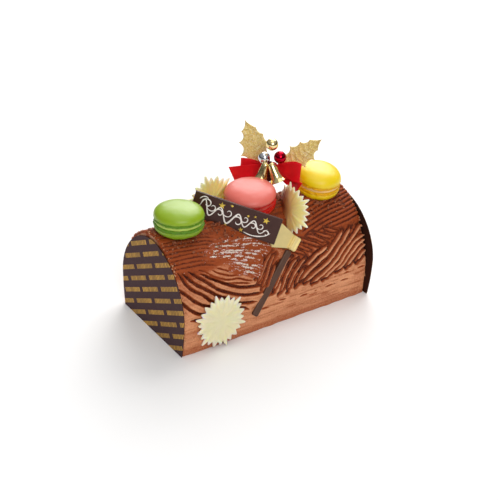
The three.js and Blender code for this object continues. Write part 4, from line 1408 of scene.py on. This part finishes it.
class LogSettings(bpy.types.PropertyGroup):
    """Sizes and colours of the log's cream and its end cards."""

    groove_depth: bpy.props.FloatProperty(
        name="Groove depth", description="How deep the comb digs", default=0.0017, min=0.0, unit="LENGTH")
    ridge: colour("Ridge", "Cream on the ridges", "#e09c70")
    flank: colour("Flank", "Cream between", "#a04a22")
    crown: colour("Crown", "Darker cream on top", "#9a4418")
    # the groove colour is partly the cream's darker colour and partly painted shade
    groove: colour("Groove", "Cream in the grooves", "#3e1206")
    sugar: colour("Sugar", "Sugar bloom", "#f7e6dc")
    card_dark: colour("Card", "Card stock", "#4c393b")
    card_inner: colour("Card, inner", "Its inner face", "#3a2018")
    card_light: colour("Card, worn", "Paler card", "#5a4649")
    print: colour("Print", "Gold print", "#e0ac50")
    row_slope: bpy.props.FloatProperty(
        name="Row slope", description="How steeply the printed rows climb, in degrees", default=28.0)
    row_pitch: bpy.props.FloatProperty(
        name="Row pitch", description="From one printed row to the next", default=0.0089, unit="LENGTH")
    sugar_grains: bpy.props.IntProperty(name="Sugar grains", description="How many", default=1600, min=1)
    crumbs: bpy.props.IntProperty(name="Crumbs", description="How many", default=1500, min=1)


class ToppingSettings(bpy.types.PropertyGroup):
    """Colours of the macarons, plates and axe."""

    green: colour("Green", "Green shell", "#8fae10")
    # the deep colours: painted shade on the feet and lower shells, and the colour of the almond specks
    green_shade_and_specks: colour("Deep green", "Its foot", "#5e8c1a")
    pink: colour("Pink", "Pink shell", "#e46d5f")
    pink_shade_and_specks: colour("Deep pink", "Its foot", "#d01408")
    yellow: colour("Yellow", "Yellow shell", "#f2d200")
    yellow_shade_and_specks: colour("Deep yellow", "Its foot", "#eaae00")
    ivory: colour("Ivory", "White chocolate", "#f6ebc8")
    ivory_shade: colour("Ivory shade", "Its clouds", "#e8dcae")
    # painted glow: the yellow that stands in for light shining through the back and right plates
    butter: colour("Butter", "Its yellower parts", "#ffe898")
    # painted shade: the brown laid on the side of the curled plate that turns away from the light
    painted_shade: colour("Stain", "Cocoa rubbed on a plate", "#963e00")
    tooth: colour("Teeth", "The plates' thin teeth", "#f6ecd0")
    crystal_relief: bpy.props.FloatProperty(
        name="Petal relief", description="How far a plate's petals stand up", default=0.0008, unit="LENGTH")


class PickSettings(bpy.types.PropertyGroup):
    """Colours of the holly pick."""

    glitter: colour("Glitter", "Gold glitter", "#f6dc84")
    glitter_dark: colour("Dark flakes", "Glitter flakes turned from the light", "#b88a30")
    glitter_light: colour("Light flakes", "Glitter flakes that catch the light", "#fff9dc")
    gold: colour("Gold", "Gold foil", "#f4dfa0")
    silver: colour("Silver", "Silver foil", "#d5d8de")
    red: colour("Red", "Red foil", "#b00a24")
    ribbon: colour("Ribbon", "Red satin", "#ee0a1a")
    # painted shade of the ribbon's folds
    ribbon_fold_shade: colour("Ribbon shade", "Satin in the folds", "#c40816")


class StageSettings(bpy.types.PropertyGroup):
    """The floor, light and camera."""

    floor: colour("Floor", "Floor", "#f6f5f4")
    lens: bpy.props.FloatProperty(name="Lens", description="Focal length in millimetres", default=72.0)


GROUPS = {
    "cake_log": LogSettings,
    "cake_toppings": ToppingSettings,
    "cake_pick": PickSettings,
    "cake_stage": StageSettings,
}


# ---- operators ----
class CAKE_OT_log(bpy.types.Operator):
    """Builds the combed log with its sugar grains and crumbs"""

    bl_idname = "cake.log"
    bl_label = "Log"

    def execute(self, context):
        settings = context.scene.cake_log
        cream = whipped_cream_finish(settings)
        shape, values, surface = log_shape(settings.groove_depth / MM, macaron_places())
        make_piece("cake_log", shape, cream, ["log"], values)
        x = surface["grid"][..., 0]
        arc = surface["arc"]
        rows, columns = x.shape
        grid_sugar = values["sugar"][: rows * (columns + 4)].reshape(rows, -1)[:, :columns]
        wide = (np.abs(x) < 86) & (np.abs(arc) < 92)
        sugared = grid_sugar**1.5 * (arc > 5) + 1e-4 * (wide & (arc > 12) & (arc < 60))
        places, normals, random = pick_places(surface, sugared, settings.sugar_grains, 31)
        sizes = random.uniform(0.2, 0.46, len(places))
        scatter("sugar_grains", places, normals, sizes, sugar_finish(), 32)
        crumb = crumb_finish("rubbed_chocolate_crumbs", linear("#5a2410"), linear("#b96f4a"))
        on_top = np.exp(-((arc / 22) ** 2)) * (np.abs(x) < 85)
        patchy = np.clip(noise(pair(x, arc), 9, seed=33) + 0.35, 0, 1)
        places, normals, random = pick_places(surface, on_top * patchy + 1e-3 * wide, settings.crumbs, 34)
        sizes = random.uniform(0.5, 1.4, len(places)) ** 1.3
        scatter("chocolate_crumbs", places, normals, sizes, crumb, 35)
        pale = crumb_finish("pale_sponge_crumbs", linear("#a8643a"), linear("#e8b48a"))
        by_card = np.exp(-(((np.abs(x) - 85.6) / 0.7) ** 2)) * (np.abs(arc) < 96)
        places, normals, random = pick_places(surface, by_card, 220, 36)
        sizes = random.uniform(0.3, 0.85, len(places))
        places[:, 0] = np.clip(places[:, 0], -86.2, 86.2)
        scatter("sponge_crumbs", places, normals, sizes, pale, 37)
        return {"FINISHED"}


class CAKE_OT_cards(bpy.types.Operator):
    """Builds the two printed end cards"""

    bl_idname = "cake.cards"
    bl_label = "End cards"

    def execute(self, context):
        finish = printed_card_finish(context.scene.cake_log)
        q = np.concatenate([np.linspace(0, 1, 60), np.linspace(1, 2, 14)[1:]])
        y, z = half_section(q, CARD_SECTION)
        outline = np.vstack([np.stack([y, z], axis=1), np.stack([-y[:0:-1], z[:0:-1]], axis=1)])
        for name in ("end_card_near", "end_card_far"):
            low, high = corners(name)
            points, faces = prism(outline, low[0], high[0])
            placed = np.stack([points[:, 2], points[:, 0] + (low[1] + high[1]) / 2, points[:, 1]], axis=1)
            piece = make_piece("printed_" + name, (placed, faces), finish, [name], sharp=30)
            round_edges(piece, 0.15, 2)
        return {"FINISHED"}


class CAKE_OT_macarons(bpy.types.Operator):
    """Builds the three macarons, each of two shells and a filling"""

    bl_idname = "cake.macarons"
    bl_label = "Macarons"

    def execute(self, context):
        settings = context.scene.cake_toppings
        # each tint's shell colour, deep colour, filling, and how much of its lower shell is painted in shade
        colours = {
            "green": (settings.green, settings.green_shade_and_specks, linear("#b4cc58"), 0.45),
            "pink": (settings.pink, settings.pink_shade_and_specks, linear("#d8483a"), 1.0),
            "yellow": (settings.yellow, settings.yellow_shade_and_specks, linear("#f6cc80"), 0.25),
        }
        for seed, (name, place) in enumerate(zip(MACARON_NAMES, macaron_places())):
            centre, axes, radius, height = place
            tint = name.split("_")[0]
            colour, deep, cream, lower_shell_shade = colours[tint]
            finish = meringue_finish(f"baked_{tint}_meringue", colour, deep)
            shell_height = height / 2 - SHELL_START - SHELL_TOP_GAP
            over = np.array([axes[0], -axes[1], -axes[2]])
            for level, turn, seed_step in (("upper", axes, 0), ("lower", over, 5)):
                (points, faces), values = shell_shape(radius, shell_height, 60 + 10 * seed + seed_step)
                # painted shade: a lower shell takes the deep colour over at least this share
                if level == "lower":
                    values["foot"] = np.maximum(values["foot"], lower_shell_shade)
                points = points + np.array([0, 0, SHELL_START])
                make_piece(
                    f"{tint}_macaron_{level}", (put(points, centre, turn), faces), finish,
                    [f"{name}_{level}_shell"], values)
            points, faces = filling_shape(radius * FILLING_SHARE, 90 + seed)
            make_piece(
                f"{tint}_macaron_cream", (put(points, centre, axes), faces),
                filling_finish(f"pressed_{tint}_buttercream", cream), [f"{name}_filling"])
        return {"FINISHED"}


PLAQUE_ALONG = (0.719, -0.646, -0.255)
PLAQUE_FACING = (-0.635, -0.761, 0.135)
PLAQUE_HALF = np.array([33.7, 10.45])
PLAQUE_HALF_THICKNESS = 1.2


class CAKE_OT_plaque(bpy.types.Operator):
    """Builds the chocolate plaque with its white scrollwork and gold stars"""

    bl_idname = "cake.plaque"
    bl_label = "Plaque"

    def execute(self, context):
        centre, axes = plate_pose("plaque", PLAQUE_ALONG, PLAQUE_FACING)
        dark = moulded_chocolate_finish("moulded_dark_chocolate", linear("#3a1f1a"), linear("#4a2a22"), 0.32)
        outline = np.array([(-1, -1), (1, -1), (1, 1), (-1, 1)]) * PLAQUE_HALF
        points, faces = prism(outline, -PLAQUE_HALF_THICKNESS, PLAQUE_HALF_THICKNESS)
        piece = make_piece("chocolate_plaque", (put(points, centre, axes), faces), dark,
                           ["plaque"], sharp=30)
        round_edges(piece, 0.35)
        lines = [
            (smooth_path([
                (-29, -1.5), (-25, 6.5), (-19.5, -4.5), (-12.5, 4.2), (-5.5, -6.2), (1.5, 3.6), (8, -4.6),
                (14, 2.6), (20, -5.4), (25.5, -0.5)], spacing=0.5), 1.35),
            (scroll((-27.4, 3.4), 4.4, 0.95, -1, 95), 1.2),
            (scroll((-21.6, 0.6), 3.6, 0.9, 1, -60), 1.0),
            (scroll((-15.6, 0.8), 3.4, 0.9, -1, 70), 1.2),
            (scroll((-9.4, 0.2), 3.8, 0.9, 1, -60), 1.0),
            (scroll((-2.4, -1.6), 4.6, 0.95, -1, 80), 1.3),
            (scroll((4.4, 0), 3.2, 0.9, 1, -60), 1.0),
            (scroll((11, -1.2), 3.2, 0.9, -1, 75), 1.1),
            (scroll((17, -1.4), 3.0, 0.9, 1, -60), 1.0),
            (scroll((22.4, -3.6), 2.8, 0.9, -1, 80), 1.1),
            (np.array([(8.5, -8.2), (14, -9.0), (20, -8.2), (25, -6.0), (28.2, -2.8)]), 1.1),
            (np.array([(-29.5, 5.8), (-27.4, 8.2), (-24.4, 8.6), (-22.8, 7.0)]), 1.0),
        ]
        shape = joined([bead(path, 0.88 * width, 0.4) for path, width in lines])
        white = moulded_chocolate_finish("piped_white_icing", linear("#fbf7f2"), linear("#efe6dc"), 0.4)
        face = centre + axes[2] * PLAQUE_HALF_THICKNESS
        make_piece("plaque_scrollwork", (put(shape[0], face, axes), shape[1]), white)
        stars = [
            ((-12.2, 6.1), 2.7, 10), ((22.2, 5.6), 2.7, -6), ((6.4, -7.4), 2.0, 20), ((-4.9, 8.1), 1.2, 0),
            ((13.7, 5.8), 1.2, 25), ((8.6, 4.6), 1.2, 8), ((-5.6, -7.4), 1.2, 30), ((-24, -6.8), 1.4, 12),
        ]
        shape = joined([star_shape(at, radius, turn + 90, 0.35) for at, radius, turn in stars])
        gold = foil_finish("stamped_gold_foil", linear("#e2c258"), 0.35)
        make_piece("plaque_stars", (put(shape[0], face, axes), shape[1]), gold, sharp=20)
        return {"FINISHED"}


class CAKE_OT_crystals(bpy.types.Operator):
    """Builds the three toothed snow-crystal plates"""

    bl_idname = "cake.crystals"
    bl_label = "Snow crystals"

    def execute(self, context):
        settings = context.scene.cake_toppings
        finish = white_chocolate_finish(settings)
        relief = settings.crystal_relief / MM
        for name, along, facing, spin, bend, painted_shade, painted_glow in CRYSTALS:
            scale = CURLED_SCALE if bend else 1.0
            (points, faces), values = crystal_shape(spin, bend, painted_shade, painted_glow, relief, seed=len(name) + spin)
            placed = settle(put(points * scale, (0, 0, 0), axes_from(along, facing)), name)
            make_piece(name + "_plate", (placed, faces), finish, [name], values, sharp=50)
        return {"FINISHED"}


class CAKE_OT_axe(bpy.types.Operator):
    """Builds the small axe"""

    bl_idname = "cake.axe"
    bl_label = "Axe"

    def execute(self, context):
        axes = axes_from(AXE_ALONG, AXE_FACING)
        local = node_points("axe_handle") @ axes.T
        low, high = local.min(axis=0), local.max(axis=0)
        top = np.array([high[0], (low[1] + high[1]) / 2, (low[2] + high[2]) / 2]) @ axes
        brown = moulded_chocolate_finish(
            "moulded_brown_chocolate", linear("#4e3529"), linear("#614436"), 0.42)
        points, faces = closed_rings(bar_rings(**SHAFT))
        shaft = (put(points, top, axes), faces)
        make_piece("axe_shaft", shaft, brown, ["axe_handle"], sharp=60)
        gold = foil_finish("moulded_pale_gold", linear("#f2dc98"), 0.4, 0.45)
        blade = prism(np.array(BLADE), -BLADE_HALF_THICKNESS, BLADE_HALF_THICKNESS)
        collar = closed_rings(collar_rings(**EYE))
        shape = joined([blade, collar])
        piece = make_piece("axe_blade", (put(shape[0], top, axes), shape[1]), gold,
                           ["axe_head"], sharp=40)
        round_edges(piece, 0.3)
        return {"FINISHED"}


class CAKE_OT_pick(bpy.types.Operator):
    """Builds the holly pick: leaves, balls, bells and ribbon bow"""

    bl_idname = "cake.pick"
    bl_label = "Holly pick"

    def execute(self, context):
        settings = context.scene.cake_pick
        at, axes = pick_frame()
        glitter = glitter_finish(settings)
        for name, leaf in LEAVES.items():
            points, faces = leaf_shape(leaf)
            make_piece(name + "_glitter", (put(points, at, axes), faces), glitter, [name])
        gold = foil_finish("metallised_gold", settings.gold, 0.2)
        silver = foil_finish("metallised_silver", settings.silver, 0.1)
        red = foil_finish("metallised_red", settings.red, 0.12)
        turn = np.linspace(-np.pi / 2, np.pi / 2, 48)
        for name, material, slot in (
            ("ball_gold", gold, "gold_foil"),
            ("ball_silver", silver, "silver_foil"),
            ("ball_red", red, "red_foil"),
        ):
            low, high = corners(name)
            radius = (high - low).max() / 2 + 0.05
            globe = np.stack([radius * np.cos(turn), radius * np.sin(turn)], axis=1)
            points, faces = closed_rings(turned(globe, 64))
            make_piece(name + "_bauble", (put(points, middle(name), axes), faces), material, [name])
        bell = turned(bell_profile(), 64)
        for name, place, lean in (
            ("bell_left", (-3.0, 3.9, 9.9), -13), ("bell_right", (0.9, 4.6, 11.5), 28),
        ):
            points, faces = closed_rings(bell)
            swing = math.radians(lean)
            upright = np.stack([points[:, 0], points[:, 2], points[:, 1]], axis=1)
            across = (math.cos(swing), math.sin(swing), 0)
            tilt = np.array([across, (-across[1], across[0], 0), (0, 0, 1)])
            hung = upright @ tilt + np.array(place)
            make_piece(name + "_bell", (put(hung, at, axes), faces), gold, [name])
        satin = satin_finish(settings)
        bands = (
            ("bow_loop_left", loop_path(-1, 23, -4.6, -0.02, 0, 12), 0.25, 0),
            ("bow_loop_right", loop_path(1, 19.4, -1.5, -0.08, 0.3, 15.6), 0.3, 0),
            ("bow_tail_left", tail_path(-1, 28, 9, -1, 0, 0.5), 0.45, 3.2),
            ("bow_tail_right", tail_path(1, 19, 13, 7.2, 0.3, 2.5), 0.5, 3.0),
        )
        for seed, (name, (path, widths), wave, cut) in enumerate(bands):
            (points, faces), uv = ribbon_shape(path, widths, wave, 70 + seed, cut)
            make_piece(name + "_satin", (put(points, at, axes), faces), satin, [name], uv=uv)
        turn = np.linspace(0, 2 * np.pi, 40)
        wrap = np.stack([3 * np.cos(turn), np.zeros(40), 1.15 * np.sin(turn)], axis=1)
        (points, faces), uv = ribbon_shape(wrap, np.full(40, 7.6), 0.3, 80)
        points = points + np.array([0, -1, 1.8])
        make_piece("bow_knot_satin", (put(points, at, axes), faces), satin, ["bow_knot"], uv=uv)
        # a dark knotted piece between the bells: it stands for the knot there and for the shade in the gap
        # between the bells
        knot_shade = moulded_chocolate_finish("dark_knot_and_shade", linear("#3c0c0a"), linear("#5c1410"), 0.6)
        rise = np.linspace(0, 1, 24)
        girth = 1.9 * np.sqrt(np.sin(np.pi * np.clip(rise, 0.02, 0.98))) * (1 + 0.12 * np.sin(22 * rise))
        points, faces = closed_rings(turned(np.stack([girth, 5 - 17.5 * rise], axis=1), 20))
        upright = np.stack([points[:, 0] * 1.3 - 0.6, points[:, 2], points[:, 1] + 5.6], axis=1)
        make_piece("knot_and_shade_between_bells", (put(upright, at, axes), faces), knot_shade)
        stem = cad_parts["pick_stem"]
        stem.data.materials.clear()
        stem.data.materials.append(gold)
        return {"FINISHED"}


# each lamp's name, place and size in metres, and power in watts
SOFTBOXES = (
    ("key_softbox", (1.25, 0.8, 1.6), 1.5, 25.0),
    ("rim_softbox", (0.95, 1.5, 1.1), 1.2, 17.0),
    ("top_softbox", (0.0, -0.1, 1.9), 1.3, 6.5),
    ("front_softbox", (-0.59, -1.65, 1.33), 1.1, 19.5),
)
CAMERA_TARGET = (0.00537, 0.00522, 0.03926)
CAMERA_ANGLES = (-36.09, 29.51, 2.67)  # round the cake, above it and rolled, in degrees
CAMERA_DISTANCE = 0.79073


class CAKE_OT_stage(bpy.types.Operator):
    """Sets the pale floor, the soft light and the camera"""

    bl_idname = "cake.stage"
    bl_label = "Stage"

    def execute(self, context):
        settings = context.scene.cake_stage
        mesh = bpy.data.meshes.new("floor")
        reach = 4.0
        square = [(-reach, -reach, 0), (reach, -reach, 0), (reach, reach, 0), (-reach, reach, 0)]
        mesh.from_pydata(square, [], [(0, 1, 2, 3)])
        paper = blank_material("matt_white_paper")
        close_material(paper, {"Base Color": settings.floor, "Roughness": 0.9})
        mesh.materials.append(paper)
        floor = bpy.data.objects.new("floor", mesh)
        context.scene.collection.objects.link(floor)
        world = bpy.data.worlds.new("soft_studio")
        world.use_nodes = True
        tree = world.node_tree
        tree.nodes.clear()
        spot = add_node(tree, "ShaderNodeTexCoord").outputs["Generated"]
        split = add_node(tree, "ShaderNodeSeparateXYZ", {"Vector": spot})
        ramp = add_node(tree, "ShaderNodeValToRGB", {"Fac": split.outputs["Z"]})
        greys = ((0.0, "#56565a"), (0.18, "#6e6e72"), (0.5, "#e8e8ea"), (1.0, "#ffffff"))
        set_ramp(ramp, [(stop, linear(grey)) for stop, grey in greys])
        shader = add_node(tree, "ShaderNodeBackground", {"Color": ramp.outputs["Color"], "Strength": 0.39})
        add_node(tree, "ShaderNodeOutputWorld", {"Surface": shader.outputs["Background"]})
        context.scene.world = world
        for name, place, size, power in SOFTBOXES:
            lamp = bpy.data.lights.new(name, "AREA")
            lamp.shape = "SQUARE"
            lamp.size = size
            lamp.energy = power
            holder = bpy.data.objects.new(name, lamp)
            holder.location = place
            aim = Vector((0, 0, 0.05)) - Vector(place)
            holder.rotation_euler = aim.to_track_quat("-Z", "Y").to_euler()
            context.scene.collection.objects.link(holder)
        context.scene.view_settings.view_transform = "Standard"
        target = Vector(CAMERA_TARGET)
        azimuth, height, roll = (math.radians(angle) for angle in CAMERA_ANGLES)
        back = Vector((
            math.sin(azimuth) * math.cos(height), -math.cos(azimuth) * math.cos(height), math.sin(height)))
        right = (-back).cross(Vector((0, 0, 1))).normalized()
        up = back.cross(right)
        rolled_right = right * math.cos(roll) + up * math.sin(roll)
        rolled_up = up * math.cos(roll) - right * math.sin(roll)
        lens = bpy.data.cameras.new("camera")
        lens.lens = settings.lens
        lens.sensor_width = 36.0
        lens.clip_end = 20.0
        camera = bpy.data.objects.new("camera", lens)
        turn = Matrix((rolled_right, rolled_up, back)).transposed().to_4x4()
        camera.matrix_world = Matrix.Translation(target + back * CAMERA_DISTANCE) @ turn
        context.scene.collection.objects.link(camera)
        bpy.context.scene.camera = camera
        return {"FINISHED"}


OPERATORS = (
    CAKE_OT_stage,
    CAKE_OT_log,
    CAKE_OT_cards,
    CAKE_OT_macarons,
    CAKE_OT_plaque,
    CAKE_OT_crystals,
    CAKE_OT_axe,
    CAKE_OT_pick,
)


class CAKE_PT_panel(bpy.types.Panel):
    """Lists the cake's pieces and settings in the sidebar"""

    bl_idname = "CAKE_PT_panel"
    bl_label = "Yule log cake"
    bl_space_type = "VIEW_3D"
    bl_region_type = "UI"
    bl_category = "Cake"

    def draw(self, context):
        for operator in OPERATORS:
            self.layout.operator(operator.bl_idname)
        for group, kind in GROUPS.items():
            box = self.layout.box()
            box.label(text=kind.__doc__)
            for name in kind.__annotations__:
                box.prop(getattr(context.scene, group), name)


CLASSES = (*GROUPS.values(), *OPERATORS, CAKE_PT_panel)


def register():
    """Registers the classes and hangs the settings on the scene."""
    for item in CLASSES:
        bpy.utils.register_class(item)
    for group, kind in GROUPS.items():
        setattr(bpy.types.Scene, group, bpy.props.PointerProperty(type=kind))


def unregister():
    """Takes the settings and classes away again."""
    for group in GROUPS:
        delattr(bpy.types.Scene, group)
    for item in reversed(CLASSES):
        bpy.utils.unregister_class(item)


def main():
    """Builds the whole cake."""
    register()
    bpy.ops.cake.stage()
    bpy.ops.cake.log()
    bpy.ops.cake.cards()
    bpy.ops.cake.macarons()
    bpy.ops.cake.plaque()
    bpy.ops.cake.crystals()
    bpy.ops.cake.axe()
    bpy.ops.cake.pick()


if __name__ == "__main__":
    main()
